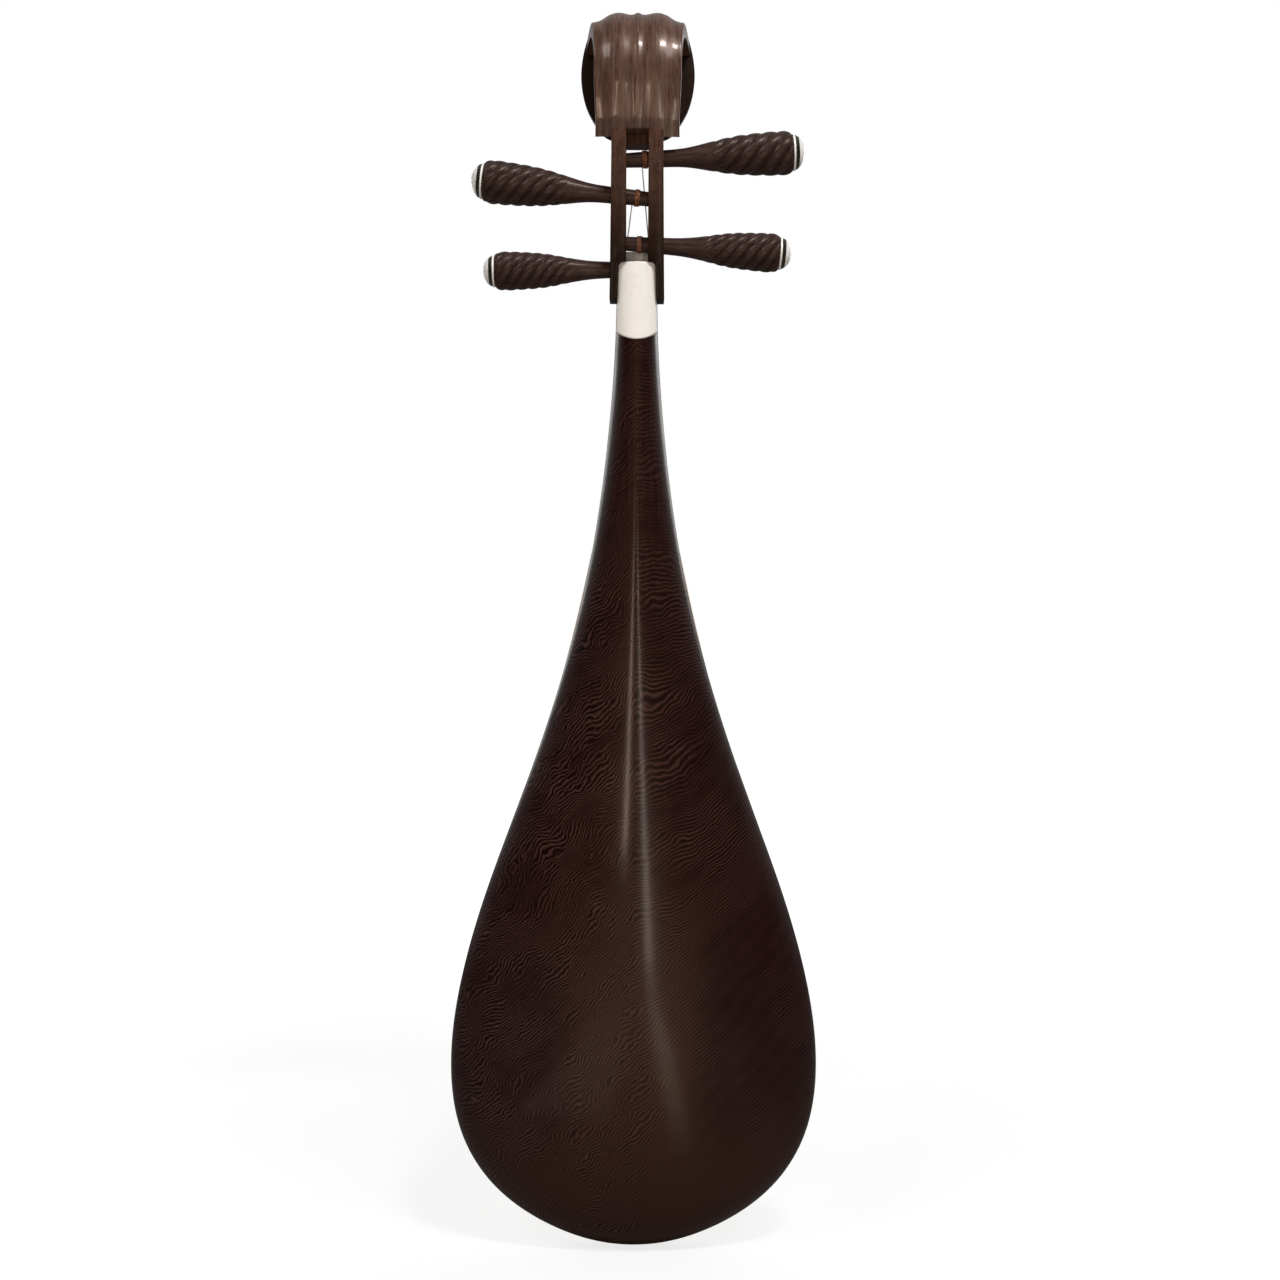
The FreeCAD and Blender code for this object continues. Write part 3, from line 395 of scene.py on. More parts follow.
def softened(node_name, width, material, body, segments=3):
    """A copy of a CAD node with its edges rounded to the given width in millimetres."""
    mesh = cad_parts[node_name].data.copy()
    work = bmesh.new()
    work.from_mesh(mesh)
    bmesh.ops.remove_doubles(work, verts=work.verts, dist=2 * MERGE)
    bmesh.ops.dissolve_limit(work, angle_limit=math.radians(0.6), verts=work.verts, edges=work.edges)
    edges = [edge for edge in work.edges
             if len(edge.link_faces) == 2 and edge.calc_face_angle(0.0) > math.radians(28)]
    bmesh.ops.bevel(work, geom=edges, offset=width * MM, offset_type="OFFSET", segments=segments,
                    profile=0.5, affect="EDGES", clamp_overlap=True)
    work.to_mesh(mesh)
    work.free()
    return dressed(f"{node_name}_finished", mesh, material, body, [node_name], 35.0)


def spline(points, start=None, end=None):
    """A smooth curve through points, as a function of the share of its chord length."""
    knots = np.array(points, float)
    at = np.concatenate([[0.0], np.cumsum(np.linalg.norm(np.diff(knots, axis=0), axis=1))])
    span = np.diff(at)
    count = len(knots)
    left, right = np.zeros((count, count)), np.zeros_like(knots)
    for i in range(1, count - 1):
        left[i, i - 1:i + 2] = span[i], 2 * (span[i - 1] + span[i]), span[i - 1]
        right[i] = 3 * (span[i] * (knots[i] - knots[i - 1]) / span[i - 1]
                        + span[i - 1] * (knots[i + 1] - knots[i]) / span[i])
    for row, other, step, slope in ((0, 1, span[0], start), (-1, -2, span[-1], end)):
        if slope is None:
            left[row, row], left[row, other] = 2, 1
            ends = (knots[1] - knots[0]) if row == 0 else (knots[-1] - knots[-2])
            right[row] = 3 * ends / step
        else:
            left[row, row] = 1
            right[row] = slope
    tangent = np.linalg.solve(left, right)

    def at_share(share):
        place = np.clip(np.atleast_1d(share), 0, 1) * at[-1]
        i = np.clip(np.searchsorted(at, place, side="right") - 1, 0, count - 2)
        w, h = ((place - at[i]) / span[i])[:, None], span[i][:, None]
        return ((2 * w**3 - 3 * w**2 + 1) * knots[i] + (w**3 - 2 * w**2 + w) * h * tangent[i]
                + (3 * w**2 - 2 * w**3) * knots[i + 1] + (w**3 - w**2) * h * tangent[i + 1])
    return at_share


def smooth_step(low, high, value):
    share = np.clip((np.asarray(value, float) - low) / (high - low), 0, 1)
    return share * share * (3 - 2 * share)


def arc_radius(half_chord, rise):
    """Radius of the arc that rises by rise over a chord of twice half_chord."""
    return (half_chord**2 + rise**2) / (2 * rise)


# ------------------------ carved back

HALF_WIDTH, BACK_DEPTH, WALL = 152.5, 55.0, 8.0
TAIL_CENTRE = 150.0
HOLLOW_TOP, BOARD_TOP, NECK_TOP, BOARD_THICK = 560.0, 578.0, 798.0, 6.0
SEAT_DEPTH = 20.5
# The outline from the tail up: share of the half width, share of the depth, and height.
GUIDE = ((0, 0, 0), (0.2, 0.2, 3.1), (0.433, 0.42, 15), (0.755, 0.66, 48), (0.934, 0.84, 90),
         (1.0, 0.965, 150), (0.953, 1.0, 215), (0.797, 0.95, 300), (0.605, 0.84, 380), (0.39, 0.68, 480),
         (0.238, 0.56, 580), (0.151, 0.50, 680), (0.118, 0.49, 751), (0.1115, 0.49, 798))
# The power of the cross-section's curve by height: 2 is an ellipse, and more is squarer.
ROUNDNESS = ((0, 2.05), (110, 2.0), (165, 1.85), (215, 1.7), (300, 1.7), (380, 1.72), (480, 1.75),
             (680, 1.75), (751, 2.2), (800, 2.4))
guide = spline([(wide * HALF_WIDTH, deep * BACK_DEPTH, height) for wide, deep, height in GUIDE],
               start=(0.93, 0.37, 0), end=(0, 0, 1))

HEEL_BOTTOM, HEEL_CORNER, HEEL_TOP, HEEL_HALF, HEEL_TOP_HALF = 750.5, 758.0, 814.0, 16.8, 15.3
# How far the plate's middle stands out beyond its sides, and the rounding of its rim and upper corners.
HEEL_CROWN, HEEL_ROUNDING, HEEL_BEVEL = 7.5, 0.9, 2.0
# The tongue that carries the nut: half width, front, back and top.
TONGUE_HALF, TONGUE_FRONT, TONGUE_BACK, TONGUE_TOP = 17, -6, 3, 816.0
# Height at which the cheeks begin, and from which the back's rows lie closer together.
CHEEK_FOOT, FINE_FROM = 784.0, 744.0


def section(half_width, depth, height, count):
    """Points of one cross-section from the +X rim over the ridge to the -X rim."""
    power = 2.0 / np.interp(height, *zip(*ROUNDNESS))
    angle = np.pi * np.arange(count) / (count - 1)
    across = np.sign(np.cos(angle)) * np.abs(np.cos(angle)) ** power * half_width
    out = np.abs(np.sin(angle)) ** power * depth
    return np.stack([across, out, np.full(count, height)], axis=1)


SAMPLED_GUIDE = guide(np.linspace(0, 1, 2001))


def back_depth_at(across, height):
    """How far the outer skin stands behind the joint plane."""
    half_width = np.interp(height, SAMPLED_GUIDE[:, 2], SAMPLED_GUIDE[:, 0])
    depth = np.interp(height, SAMPLED_GUIDE[:, 2], SAMPLED_GUIDE[:, 1])
    power = np.interp(height, *zip(*ROUNDNESS))
    inside = np.clip(1 - (np.abs(across) / half_width) ** power, 0, 1)
    return depth * inside ** (1 / power)


def heel_edge(across):
    """Height of the heel plate's rounded lower edge."""
    radius = arc_radius(HEEL_HALF, HEEL_CORNER - HEEL_BOTTOM)
    return HEEL_BOTTOM + radius - np.sqrt(radius**2 - np.minimum(np.abs(across), HEEL_HALF) ** 2)


def stations():
    """Half width, depth and height of the back's rows, with one row at the soundboard's upper end."""
    dense = guide(np.linspace(0, 1, 6001))
    run = np.concatenate([[0], np.cumsum(np.linalg.norm(np.diff(dense, axis=0), axis=1))])
    fine_from = np.interp(FINE_FROM, dense[:, 2], run)
    steps = np.concatenate([np.linspace(0, fine_from, 300, endpoint=False),
                            np.linspace(fine_from, run[-1], 70)])
    picked = np.stack([np.interp(steps, run, dense[:, axis]) for axis in range(3)], axis=1)
    board_end = [[np.interp(BOARD_TOP, dense[:, 2], dense[:, axis]) for axis in range(3)]]
    picked = np.concatenate([picked, board_end])
    return picked[np.argsort(picked[:, 2], kind="stable")]


def lowered(height):
    """Height of the hollow's row that belongs to the outer skin's row at height."""
    return TAIL_CENTRE + (height - TAIL_CENTRE) * (1 - WALL / TAIL_CENTRE)


def build_back():
    """Bowl and neck: outer skin, hollow, joint face, the neck's front slab and the nut's tongue."""
    columns = 145
    last = columns - 1
    rows = stations()
    points = []
    for half_width, depth, height in rows:
        ring = section(half_width, depth, height, columns)
        seated = (height > heel_edge(ring[:, 0]) + 1.5) & (np.abs(ring[:, 0]) < HEEL_HALF)
        ring[seated, 1] = np.minimum(ring[seated, 1], SEAT_DEPTH - 0.05)
        points.extend(map(tuple, ring))
    faces = grid_faces(len(rows), columns)

    # Inner skin of the hollow, one row for each outer row.
    inner_start = len(points)
    inner_rows = [i for i, row in enumerate(rows) if lowered(row[2]) <= HOLLOW_TOP]
    for i in inner_rows:
        half_width, depth, height = rows[i]
        ring = section(half_width * (1 - WALL / HALF_WIDTH), depth * (1 - WALL / BACK_DEPTH),
                       lowered(height), columns)
        points.extend(map(tuple, ring))
    faces += grid_faces(len(inner_rows), columns, inner_start)
    for i in inner_rows[:-1]:
        for side in (0, last):
            a, b = i * columns + side, (i + 1) * columns + side
            faces.append((a, b, inner_start + b, inner_start + a))
    stop = inner_rows[-1]
    inner_end = inner_start + stop * columns
    faces.append(tuple(inner_end + j for j in range(columns)))

    # Flat joint face of the neck block, then the neck's front slab.
    step = int(np.argmin(np.abs(rows[:, 2] - BOARD_TOP)))
    for i in range(stop, step):
        a, b = i * columns, (i + 1) * columns
        if i == stop:
            faces.append((a, b, b + last, a + last, inner_end + last, inner_end))
        else:
            faces.append((a, b, b + last, a + last))
    front_start = len(points)
    for half_width, _, height in rows[step:]:
        points += [(half_width, -BOARD_THICK, height), (-half_width, -BOARD_THICK, height)]
    for k, i in enumerate(range(step, len(rows) - 1)):
        a, b, f = i * columns, (i + 1) * columns, front_start + 2 * k
        faces += [(a, b, f + 2, f), (f, f + 2, f + 3, f + 1), (f + 1, f + 3, b + last, a + last)]
    faces.append((step * columns, front_start, front_start + 1, step * columns + last))
    top = (len(rows) - 1) * columns
    faces.append(tuple(top + j for j in range(columns)) + (len(points) - 1, len(points) - 2))

    # Tongue that carries the nut, sunk a little into the neck.
    base = len(points)
    for height in (NECK_TOP - 2, TONGUE_TOP):
        points += [(TONGUE_HALF, TONGUE_FRONT, height), (-TONGUE_HALF, TONGUE_FRONT, height),
                   (-TONGUE_HALF, TONGUE_BACK, height), (TONGUE_HALF, TONGUE_BACK, height)]
    faces += [tuple(base + j for j in f) for f in
              ((0, 1, 2, 3), (7, 6, 5, 4), (0, 4, 5, 1), (1, 5, 6, 2), (2, 6, 7, 3), (3, 7, 4, 0))]
    return piece("carved_back", points, faces, BACK_WOOD, "body", ["body_shell"], "back_wood", 50.0)


build_back()


# ------------------------ heel plate

def build_heel_plate():
    """The white plate: crowned across, rounded at its rim, and bedded in the neck's flat seat."""
    rows, columns = 61, 41
    radius = arc_radius(HEEL_HALF, HEEL_CROWN)
    top, bottom = [], []
    for i in range(rows):
        up = i / (rows - 1)
        half = HEEL_HALF + (HEEL_TOP_HALF - HEEL_HALF) * up
        for j in range(columns):
            side = math.sin(math.pi / 2 * (2 * j / (columns - 1) - 1))
            across = side * half
            low = float(heel_edge(across))
            high = HEEL_TOP - max(0.0, abs(across) - (HEEL_TOP_HALF - HEEL_BEVEL))
            height = low + (high - low) * (1 - math.cos(math.pi * up)) / 2
            to_edge = min(half - abs(across), height - low, high - height)
            inside = min(1.0, to_edge / HEEL_ROUNDING)
            drop = HEEL_ROUNDING * (1 - math.sqrt(max(0.0, 1 - (1 - inside) ** 2)))
            out = SEAT_DEPTH + HEEL_CROWN - (radius - math.sqrt(radius**2 - across**2))
            top.append((across, out - drop, height))
            seat = SEAT_DEPTH
            if height < CHEEK_FOOT:
                seat = min(SEAT_DEPTH, float(back_depth_at(across, height)) - 0.4)
            bottom.append((across, min(max(seat, 9.0), out - drop - 0.2), height))
    faces = grid_faces(rows, columns)
    base = len(top)
    faces += [tuple(base + j for j in reversed(f)) for f in grid_faces(rows, columns)]
    edge = (list(range(columns)) + [i * columns + columns - 1 for i in range(1, rows)]
            + [(rows - 1) * columns + j for j in range(columns - 2, -1, -1)]
            + [i * columns for i in range(rows - 2, 0, -1)])
    for a, b in zip(edge, edge[1:] + edge[:1]):
        faces.append((a, b, base + b, base + a))
    return piece("heel_plate_polished", top + bottom, faces, BONE, "body", ["heel_plate"], "bone", 50.0)


build_heel_plate()


# ------------------------ head

# Side views of the curled band, as (depth, height): its outer and inner faces and its lobes' crests.
CURL_OUTER = ((57.4, 907), (59, 912), (61.2, 918), (63.4, 925), (65.2, 932), (66.7, 940), (68.2, 950),
              (69.0, 960), (66, 978), (53, 997), (33, 1006), (14, 1007.5), (-2, 1007), (-14, 1004))
CURL_INNER = ((44.6, 912.2), (52, 933), (57, 954), (55, 972), (46, 987), (32, 995.5), (16, 997.5), (4, 997),
              (-6, 995))
CROWN_OUTER = ((58.4, 907), (60, 912), (62.4, 918), (65, 925), (67.2, 932), (69.2, 940), (71.4, 950),
               (72.4, 960), (69, 980), (56, 1002), (34, 1014), (14, 1014), (-3, 1011), (-14, 1007))
# Height of the lobed crown across the band: (share of the half width, share of the crown's rise).
LOBES = ((0, 1.0), (0.03, 0.99), (0.06, 0.90), (0.1, 0.82), (0.17, 0.80), (0.23, 0.86), (0.3, 0.94),
         (0.37, 0.99), (0.43, 1.0), (0.5, 0.95), (0.57, 0.84), (0.64, 0.70), (0.71, 0.48), (0.79, 0.25),
         (0.85, 0.13), (0.91, 0.06), (1.0, 0.0))
# The band's half width at depth BAND_REAR, and how much it gains from there to BAND_FRONT.
BAND_HALF, BAND_GAIN, BAND_REAR, BAND_FRONT = 34.3, 9.4, 74.0, -14.0
# Deeper than BAND_TURN the band hangs down. It ends at BAND_END, or at SLOT_TOP over the pegbox's slot.
BAND_TURN, BAND_END, SLOT_TOP, SLOT_HALF = 40.0, 907.0, 912.6, 10.5
# The lower band lies deeper by BAND_RECESS, so that the cheeks' ribs stand on it.
BAND_RECESS, BAND_RIM = 3.2, 1.2


def build_band():
    """The curled band with its lobed crown: an outer and an inner skin, joined round the edge."""
    rows, columns = 150, 181
    shares = np.linspace(0, 1, rows)
    outer = spline(CURL_OUTER)(shares)
    inner = spline(CURL_INNER)(shares)
    crown = spline(CROWN_OUTER)(shares)
    slope = np.gradient(outer, axis=0)
    normal = np.stack([slope[:, 1], -slope[:, 0]], axis=1)
    normal /= np.linalg.norm(normal, axis=1)[:, None]
    side = np.linspace(-1, 1, columns)
    share = np.abs(side)
    lobe = np.interp(share, *zip(*LOBES))
    lobe = np.convolve(np.pad(lobe, 1, mode="edge"), np.ones(3) / 3, mode="valid")
    points_out, points_in = [], []
    level = np.ones(columns)
    for (deep, height), (inner_deep, inner_height), crest, away in zip(outer, inner, crown, normal):
        hangs = deep > BAND_TURN
        half = BAND_HALF + BAND_GAIN * (BAND_REAR - deep) / (BAND_REAR - BAND_FRONT)
        if hangs:
            half -= 2.2 * float(1 - smooth_step(912, 955, height))
        across = side * half
        rim = np.clip((1 - share) * half, 0, BAND_RIM) / BAND_RIM
        rounded = -1.0 * (1 - np.sqrt(np.clip(1 - (1 - rim) ** 2, 0, 1)))
        back = deep + lobe * (crest[0] - deep) + rounded * away[0]
        up = height + lobe * (crest[1] - height) + rounded * away[1]
        if hangs:
            back = back - BAND_RECESS * (1 - smooth_step(905, 920, height))
            up = np.maximum(up, np.where(np.abs(across) < SLOT_HALF, SLOT_TOP, BAND_END))
            inner_height = max(inner_height, SLOT_TOP)
        points_out.append(np.stack([across, back, up], axis=1))
        points_in.append(np.stack([across, inner_deep * level, inner_height * level], axis=1))
    points = [tuple(p) for ring in points_out + points_in for p in ring]
    base = rows * columns
    faces = grid_faces(rows, columns)
    faces += [tuple(reversed(f)) for f in grid_faces(rows, columns, base)]
    for i in range(rows - 1):
        for column in (0, columns - 1):
            a, b = i * columns + column, (i + 1) * columns + column
            faces.append((a, b, base + b, base + a))
    for row in (0, rows - 1):
        for j in range(columns - 1):
            a = row * columns + j
            faces.append((a, a + 1, base + a + 1, base + a))
    return points, faces


# Right half of the front plate's outline as (across, height), from the bottom up.
PLATE = ((0, 922.5), (14, 923.5), (27, 927.5), (36, 938), (42, 949), (46, 962), (47.7, 975), (47, 989),
         (45, 1000), (42.5, 1009))
# The plate's section from the rim's back to its middle: (distance in from the outline, place in depth).
PLATE_RINGS = ((9.0, -6.0), (1.2, -6.0), (0.35, -6.35), (0.0, -7.2), (0.0, -12.6), (0.35, -13.5),
               (1.3, -14.0), (4.2, -14.0), (4.7, -13.6), (5.3, -13.3), (6.0, -13.3), (6.6, -13.6),
               (7.1, -14.0), (9.0, -14.0))


def build_plate():
    """The front plate: rounded edge, a shallow groove round the border and a plain middle."""
    half = spline(PLATE, start=(1, 0))(np.linspace(0, 1, 70))
    corner, crest = PLATE[-1]
    top = np.stack([np.linspace(corner, 0, 14)[1:], np.full(13, crest)], axis=1)
    right = np.concatenate([half, top])
    outline = np.concatenate([right, right[-2:0:-1] * [-1, 1]])
    ahead, behind = np.roll(outline, -1, axis=0), np.roll(outline, 1, axis=0)
    along = ahead - behind
    inward = np.stack([-along[:, 1], along[:, 0]], axis=1)
    inward /= np.linalg.norm(inward, axis=1)[:, None]
    for _ in range(6):
        inward = (np.roll(inward, 1, axis=0) + inward * 2 + np.roll(inward, -1, axis=0)) / 4
    points = []
    for inset, out in PLATE_RINGS:
        for (across, height), (du, dv) in zip(outline, inward):
            points.append((across + du * inset, out, height + dv * inset))
    count = len(outline)
    faces = grid_faces(len(PLATE_RINGS), count, wrap=True)
    faces.append(tuple(range(count)))
    faces.append(tuple((len(PLATE_RINGS) - 1) * count + j for j in range(count - 1, -1, -1)))
    return points, faces


# The cheeks' back face slants back from CHEEK_BEND to CHEEK_TOP: its depth there and its gain.
CHEEK_BEND, CHEEK_TOP, BEND_DEPTH, BEND_GAIN = 893.0, 912.0, 53.5, 5.5
# The ribs' ends, how far they stand out, how deep their sides go, and the power that squares them.
RIB_FOOT, RIB_TOP, RIB_PROUD, RIB_DEPTH, RIB_SQUARE = 899.0, 923.0, 0.12, 5.0, 0.42


def build_ribs():
    """The cheeks run up over the lower band as two rounded ribs that sink into it."""
    outer = spline(CURL_OUTER)(np.linspace(0, 0.4, 200))
    points, faces = [], []
    rows, columns = 75, 33
    for side in (-1, 1):
        start = len(points)
        for i in range(rows):
            height = RIB_FOOT + (RIB_TOP - RIB_FOOT) * i / (rows - 1)
            if height < CHEEK_TOP:
                crest = BEND_DEPTH + (height - CHEEK_BEND) * BEND_GAIN / (CHEEK_TOP - CHEEK_BEND) + RIB_PROUD
            else:
                crest = float(np.interp(height, outer[:, 1], outer[:, 0])) + RIB_PROUD
            crest -= 1.8 * float(smooth_step(909, RIB_TOP, height))
            outside = np.interp(height, (CHEEK_BEND, CHEEK_TOP, RIB_TOP), (21.2, 20.8, 18.5))
            inside = 9.0 + 1.5 * float(smooth_step(CHEEK_TOP, RIB_TOP, height))
            for j in range(columns):
                turn = math.pi * j / (columns - 1)
                flat = math.copysign(abs(math.cos(turn)) ** RIB_SQUARE, math.cos(turn))
                wide = (inside + outside) / 2 - 0.03 + flat * ((outside - inside) / 2 + 0.03)
                points.append((side * wide, crest - RIB_DEPTH * (1 - math.sin(turn) ** RIB_SQUARE), height))
        faces += grid_faces(rows, columns, start)
        faces += [tuple(start + j for j in range(columns)),
                  tuple(start + (rows - 1) * columns + j for j in range(columns - 1, -1, -1))]
        for i in range(rows - 1):
            a, b = start + i * columns, start + (i + 1) * columns
            faces.append((a, b, b + columns - 1, a + columns - 1))
    return piece("cheek_ribs", points, faces, RIB_PAINTED_LIGHT_WOOD, "body", [], "back_wood", 50.0)


build_ribs()
piece("head_carved", *build_band(), HEAD_PAINTED_SHEEN_WOOD, "body", ["head_scroll"], "back_wood", 55.0)
piece("head_plate", *build_plate(), PLATE_PAINTED_SHADE_WOOD, "body", [], "back_wood", 55.0)
softened("pegbox", 0.8, CHEEK_PAINTED_LIGHT_WOOD, "body")


# ------------------------ tuning pegs

# Each peg: number, side of its handle, tilt in degrees, handle scale, depth and line of its axis,
# middle of its windings, number of flutes and their twist in radians per millimetre.
PEGS = ((1, -1, 2.9, 1.0, 40.0, 893.0, -6.2, 6, 0.085), (2, 1, 6.0, 1.0, 31.0, 864.7, 0.0, 7, 0.086),
        (3, -1, -3.4, 0.91, 20.0, 829.6, -2.0, 7, 0.086), (4, 1, -0.9, 0.91, 12.7, 810.6, 5.5, 7, 0.088))
# Share of the handle's length, and radius.
HANDLE = ((0.0, 6.7), (0.16, 7.5), (0.35, 11.1), (0.53, 14.7), (0.72, 16.6), (0.87, 17.3), (0.95, 17.0),
          (0.985, 15.7), (1.0, 14.0))
HANDLE_LENGTH, SHAFT_END, FLUTE_DEPTH = 104.5, 19.5, 2.0
# The shaft's radius where it leaves the pegbox, its taper in mm per mm, and the place of that radius.
SHAFT_RADIUS, SHAFT_TAPER, SHAFT_EXIT = 6.75, 0.032, 22.5
# The pegbox's width at its foot, and how much narrower it is at the top, over its height.
BOX_WIDTH, BOX_NARROWS, BOX_HEIGHT = 45.0, 3.5, 128.0
# Thickness of the white ring and of the end cap; the button's radius and rise, and its stem's radius.
RING_THICK, CAP_THICK, BUTTON_RADIUS, BUTTON_RISE, BUTTON_STEM = 1.6, 3.0, 12.0, 5.5, 2.5
# Turns of string round the shaft: how many, the wire's radius, and the path's steps for each turn.
COIL_TURNS, COIL_WIRE, COIL_STEPS = 4, 0.48, 48


def shaft_radius(along):
    """The shaft's taper: it is thickest where it leaves the pegbox for the handle."""
    return SHAFT_RADIUS - SHAFT_TAPER * (SHAFT_EXIT - along)


def peg_matrix(side, tilt, depth, line):
    """From the peg's own axis, Z out to its handle, to the instrument."""
    return Matrix.Translation((0, depth, line)) @ Matrix.Rotation(math.radians(side * (90 - tilt)), 4, "Y")


def turned(profile, matrix, around=96, trim=None):
    """A turned piece: profile is (radius, distance along the axis); trim(angle, along) cuts into it."""
    points = []
    for radius, along in profile:
        for k in range(around):
            angle = 2 * math.pi * k / around
            r = max(0.0, radius - (trim(angle, along) if trim else 0.0))
            points.append(tuple(matrix @ Vector((r * math.cos(angle), r * math.sin(angle), along))))
    return points, grid_faces(len(profile), around, wrap=True)


def build_peg(number, matrix, half_box, scale, count, twist):
    """Shaft and fluted handle; gives back where the handle ends along the peg's axis."""
    start = half_box + 0.4
    length = HANDLE_LENGTH * scale
    end = start + length

    def flutes(angle, along):
        share = (along - start) / length
        rise = float(smooth_step(0.30, 0.47, share)) * (1 - 0.6 * float(smooth_step(0.95, 1.0, share)))
        wave = abs(math.cos(count * (angle + twist / scale * along) / 2))
        return scale * FLUTE_DEPTH * rise * (1 - wave ** 0.65)

    shaft = [(0.0, -SHAFT_END), (5.0, -SHAFT_END), (shaft_radius(-SHAFT_END), -SHAFT_END + 0.4)]
    shaft += [(shaft_radius(along), along) for along in np.linspace(-18, half_box, 24)]
    handle = spline([(r * scale if s > 0.3 else r, start + s * length) for s, r in HANDLE])
    wood = shaft + [(r, a) for r, a in handle(np.linspace(0, 1, 150))] + [(8.0, end), (0.0, end)]
    points, faces = turned(wood, matrix, 192, flutes)
    fluted = piece(f"peg_{number}_fluted", points, faces, PEG_WOOD, f"tuning_peg_{number}",
                   [f"peg_{number}"], "back_wood", 60.0)
    inverse = matrix.inverted()
    # Each point's share of its flute's full cut depth, which the peg wood reads to paint shade into the
    # flutes.
    shade = fluted.data.attributes.new("groove", "FLOAT", "POINT")
    for vertex in fluted.data.vertices:
        local = inverse @ (vertex.co / MM)
        cut = flutes(math.atan2(local.y, local.x), local.z) if local.z > start else 0.0
        shade.data[vertex.index].value = min(1.0, cut / (scale * FLUTE_DEPTH)) ** 1.9
    return end


def build_peg_end(number, matrix, ring_start, scale):
    """The dark end cap, the white ring before it and the white button on it."""
    body = f"tuning_peg_{number}"
    edge = HANDLE[-1][1] * scale
    cap = ring_start + RING_THICK
    dome = cap + CAP_THICK
    button = BUTTON_RADIUS * scale
    profile = [(0.0, cap - 1.5), (edge - 0.9, cap - 1.5), (edge - 0.6, cap), (edge - 0.3, cap + 0.3),
               (button + 0.7, cap + 2.6), (button + 0.2, dome), (0.0, dome)]
    points, faces = turned(profile, matrix)
    piece(f"peg_{number}_cap", points, faces, CAP_WOOD, body, [], "back_wood", 50.0)
    profile = [(8.0, ring_start), (edge, ring_start), (edge + 0.3, ring_start + 0.3), (edge + 0.3, cap - 0.3),
               (edge, cap), (8.0, cap)]
    points, faces = turned(profile + profile[:1], matrix)
    piece(f"peg_{number}_white_ring", points, faces, BONE, body, [f"peg_{number}_ring"], "bone", 50.0)
    radius = arc_radius(button, BUTTON_RISE)
    profile = [(0.0, dome - 6.0), (BUTTON_STEM, dome - 6.0), (BUTTON_STEM, dome), (button - 0.3, dome)]
    for k in range(24):
        r = button * math.cos(math.pi / 2 * k / 23)
        bulge = (math.sqrt(radius**2 - r**2) - radius + BUTTON_RISE) / BUTTON_RISE
        profile.append((r, dome + 0.3 + (BUTTON_RISE - 0.3) * bulge))
    points, faces = turned(profile, matrix)
    piece(f"peg_{number}_white_button", points, faces, WHITE_BONE, body, [f"peg_{number}_button"], "bone",
          50.0)


def build_coil(number, matrix, centre):
    """The turns of string round the shaft, on both sides of centre."""
    sides = 10
    steps = COIL_TURNS * COIL_STEPS + 1
    points = []
    for step in range(steps):
        angle = 2 * math.pi * step / COIL_STEPS
        along = centre - COIL_TURNS * COIL_WIRE + 2 * COIL_WIRE * step / COIL_STEPS
        radius = shaft_radius(along) + COIL_WIRE
        out = Vector((math.cos(angle), math.sin(angle), 0))
        for k in range(sides):
            turn = 2 * math.pi * k / sides
            points.append(tuple(matrix @ (out * (radius + COIL_WIRE * math.cos(turn))
                                          + Vector((0, 0, along + COIL_WIRE * math.sin(turn))))))
    faces = grid_faces(steps, sides, wrap=True)
    faces += [tuple(range(sides)), tuple(len(points) - 1 - k for k in range(sides))]
    piece(f"string_{number}_coil", points, faces, WINDING, f"tuning_peg_{number}",
          [f"string_{number}_winding"], "winding", 60.0)


for number, side, tilt, scale, depth, line, coil_centre, count, twist in PEGS:
    matrix = peg_matrix(side, tilt, depth, line)
    half_box = (BOX_WIDTH - BOX_NARROWS * (line - CHEEK_FOOT) / BOX_HEIGHT) / 2
    ring_start = build_peg(number, matrix, half_box, scale, count, twist)
    build_peg_end(number, matrix, ring_start, scale)
    build_coil(number, matrix, side * coil_centre)


# ------------------------ front of the instrument

softened("soundboard", 1.2, SOUNDBOARD, "body")
softened("bridge", 0.8, BRIDGE_WOOD, "body")
softened("nut", 0.6, WHITE_BONE, "body")
softened("head_inlay", 0.35, BONE, "body", 2)
for count in range(1, 7):
    softened(f"neck_fret_{count}", 0.45, BONE, "body")
for count in range(1, 25):
    softened(f"soundboard_fret_{count:02d}", 0.3, BAMBOO, "body", 2)
kept = {"cross_braces": BRACE_WOOD, "sound_posts": POST_WOOD}
kept.update({f"string_{number}": STRING for number in range(1, 5)})
for name, material in kept.items():
    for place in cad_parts[name].material_slots:
        place.material = material


# ------------------------ stage, light and camera

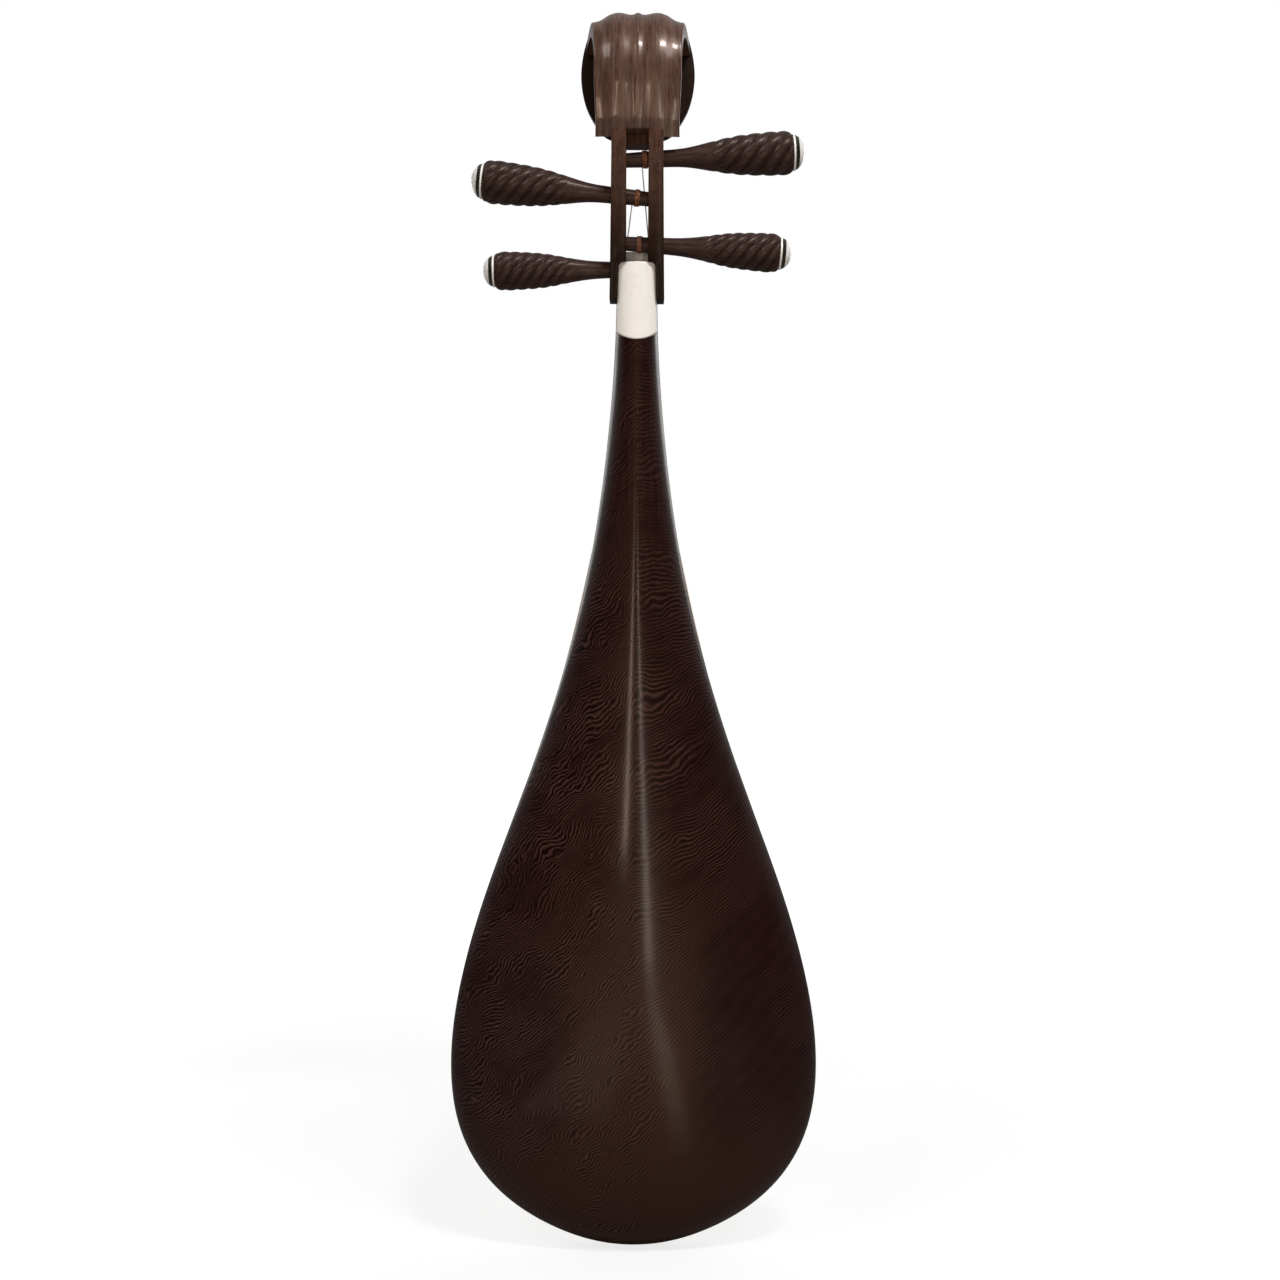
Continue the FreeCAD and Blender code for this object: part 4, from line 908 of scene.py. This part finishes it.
def stage_floor():
    """A pale round floor that the camera sees glow to white away from the instrument."""
    mesh = bpy.data.meshes.new("floor")
    rings, around = (0.0, 0.5, 1.0, 2.0, 4.0, 10.0, 40.0), 64
    points = [(r * math.cos(2 * math.pi * k / around), r * math.sin(2 * math.pi * k / around), -0.0005)
              for r in rings for k in range(around)]
    mesh.from_pydata(points, [], grid_faces(len(rings), around, wrap=True))
    material, tree, shader = shader_material("floor_paper", 0.9, specular=0.1)
    place = node(tree, "ShaderNodeTexCoord").outputs["Object"]
    distance = node(tree, "ShaderNodeVectorMath", {0: place}, operation="LENGTH").outputs["Value"]
    mottle = remap(tree, noise(tree, place, 3.0), 0.3, 0.7)
    finish_with(tree, shader, mix_colour(tree, mottle, (0.25, 0.25, 0.25), (0.28, 0.28, 0.28)))
    shader.inputs["Emission Color"].default_value = (1, 1, 1, 1)
    glow = remap(tree, distance, 0.3, 2.2, 0.78, 1.0, smooth=True)
    seen = node(tree, "ShaderNodeLightPath").outputs["Is Camera Ray"]
    tree.links.new(math_node(tree, "MULTIPLY", glow, seen), shader.inputs["Emission Strength"])
    mesh.materials.append(material)
    floor = bpy.data.objects.new("floor", mesh)
    scene.collection.objects.link(floor)


stage_floor()

world = bpy.data.worlds.new("studio")
world.use_nodes = True
tree = world.node_tree
tree.nodes.clear()
direction = node(tree, "ShaderNodeTexCoord").outputs["Generated"]
towards = node(tree, "ShaderNodeSeparateXYZ", {0: direction}).outputs[1]
level = remap(tree, towards, -0.35, 0.30, 0.38, 0.02, smooth=True)
room = node(tree, "ShaderNodeBackground", {0: (1, 1, 1, 1), 1: level})
seen = node(tree, "ShaderNodeBackground", {0: (1, 1, 1, 1), 1: 1.0})
ray = node(tree, "ShaderNodeLightPath").outputs["Is Camera Ray"]
both = node(tree, "ShaderNodeMixShader", {0: ray, 1: room.outputs[0], 2: seen.outputs[0]})
node(tree, "ShaderNodeOutputWorld", {0: both.outputs[0]})
scene.world = world


def area_light(name, place, target, size, power, colour=(1, 1, 1), turn=0.0):
    """A rectangular light at place that faces target; turn swings it about the vertical, in degrees."""
    data = bpy.data.lights.new(name, "AREA")
    data.shape = "RECTANGLE"
    data.size, data.size_y = size
    data.energy = power
    data.color = colour
    light = bpy.data.objects.new(name, data)
    light.location = place
    facing = (Vector(target) - Vector(place)).to_track_quat("-Z", "Y").to_matrix()
    light.rotation_euler = (Matrix.Rotation(math.radians(turn), 3, "Z") @ facing).to_euler()
    light.visible_camera = False
    scene.collection.objects.link(light)


area_light("strip_right", (-0.235, 1.50, 0.41), (0, 0, 0.41), (0.045, 0.80), 3.1, (1.0, 0.88, 0.77))
area_light("strip_left", (0.225, 1.50, 0.58), (0, 0, 0.58), (0.050, 0.46), 2.6, (1.0, 0.78, 0.60))
# Lights on the floor that shine straight up. The right one is turned, and towards the instrument its
# glow narrows and fades in steps that lie on the same slanting line.
FLOOR_LIGHT, FLOOR_ASIDE, FLOOR_TURN, FLOOR_SLANT = 0.01, -0.170, 7.0, 0.125
area_light("floor_right", (FLOOR_ASIDE, 1.00, FLOOR_LIGHT), (FLOOR_ASIDE, 1.00, 1.0), (0.060, 1.00), 0.95,
           (1.0, 0.84, 0.66), FLOOR_TURN)
FLOOR_STEPS = ((0.43, 0.14, 0.052, 0.080), (0.315, 0.09, 0.042, 0.028), (0.235, 0.07, 0.032, 0.010),
               (0.170, 0.06, 0.024, 0.003))
for count, (depth, run, wide, power) in enumerate(FLOOR_STEPS):
    aside = FLOOR_ASIDE + (1.0 - depth) * FLOOR_SLANT
    area_light(f"floor_near_{count + 1}", (aside, depth, FLOOR_LIGHT), (aside, depth, 1.0), (wide, run),
               power, (1.0, 0.84, 0.62), FLOOR_TURN)
area_light("floor_left", (0.14, 0.55, FLOOR_LIGHT), (0.14, 0.55, 1.0), (0.20, 0.60), 0.30, (1.0, 0.80, 0.66))
area_light("overhead", (-0.50, 1.05, 2.30), (0, 0, 0.75), (0.34, 0.18), 19)
for name, aside in (("fill_left", 1.4), ("fill_right", -1.4)):
    area_light(name, (aside, 1.5, 2.6), (0, 0, 0.5), (0.9, 0.9), 19.5)
area_light("front_left", (1.6, -2.3, 1.2), (0, 0, 0.5), (1.1, 1.1), 9)
area_light("front_right", (-1.6, -2.3, 1.5), (0, 0, 0.5), (1.1, 1.1), 12)

# The camera faces the back squarely. Its roll is in radians, and its lens and sensor in millimetres.
CAMERA_PLACE, CAMERA_ROLL, LENS, SENSOR = (-0.00385, 1.3, 0.504), 0.0045, 43.73, 36.0
camera_data = bpy.data.cameras.new("camera")
camera_data.sensor_width = SENSOR
camera_data.lens = LENS
camera = bpy.data.objects.new("camera", camera_data)
camera.rotation_mode = "QUATERNION"
camera.location = CAMERA_PLACE
looking = Vector((0, -1, 0)).to_track_quat("-Z", "Y").to_matrix().to_4x4()
camera.rotation_quaternion = (looking @ Matrix.Rotation(CAMERA_ROLL, 4, "Z")).to_quaternion()
scene.collection.objects.link(camera)
scene.camera = camera
scene.view_settings.view_transform = "Standard"
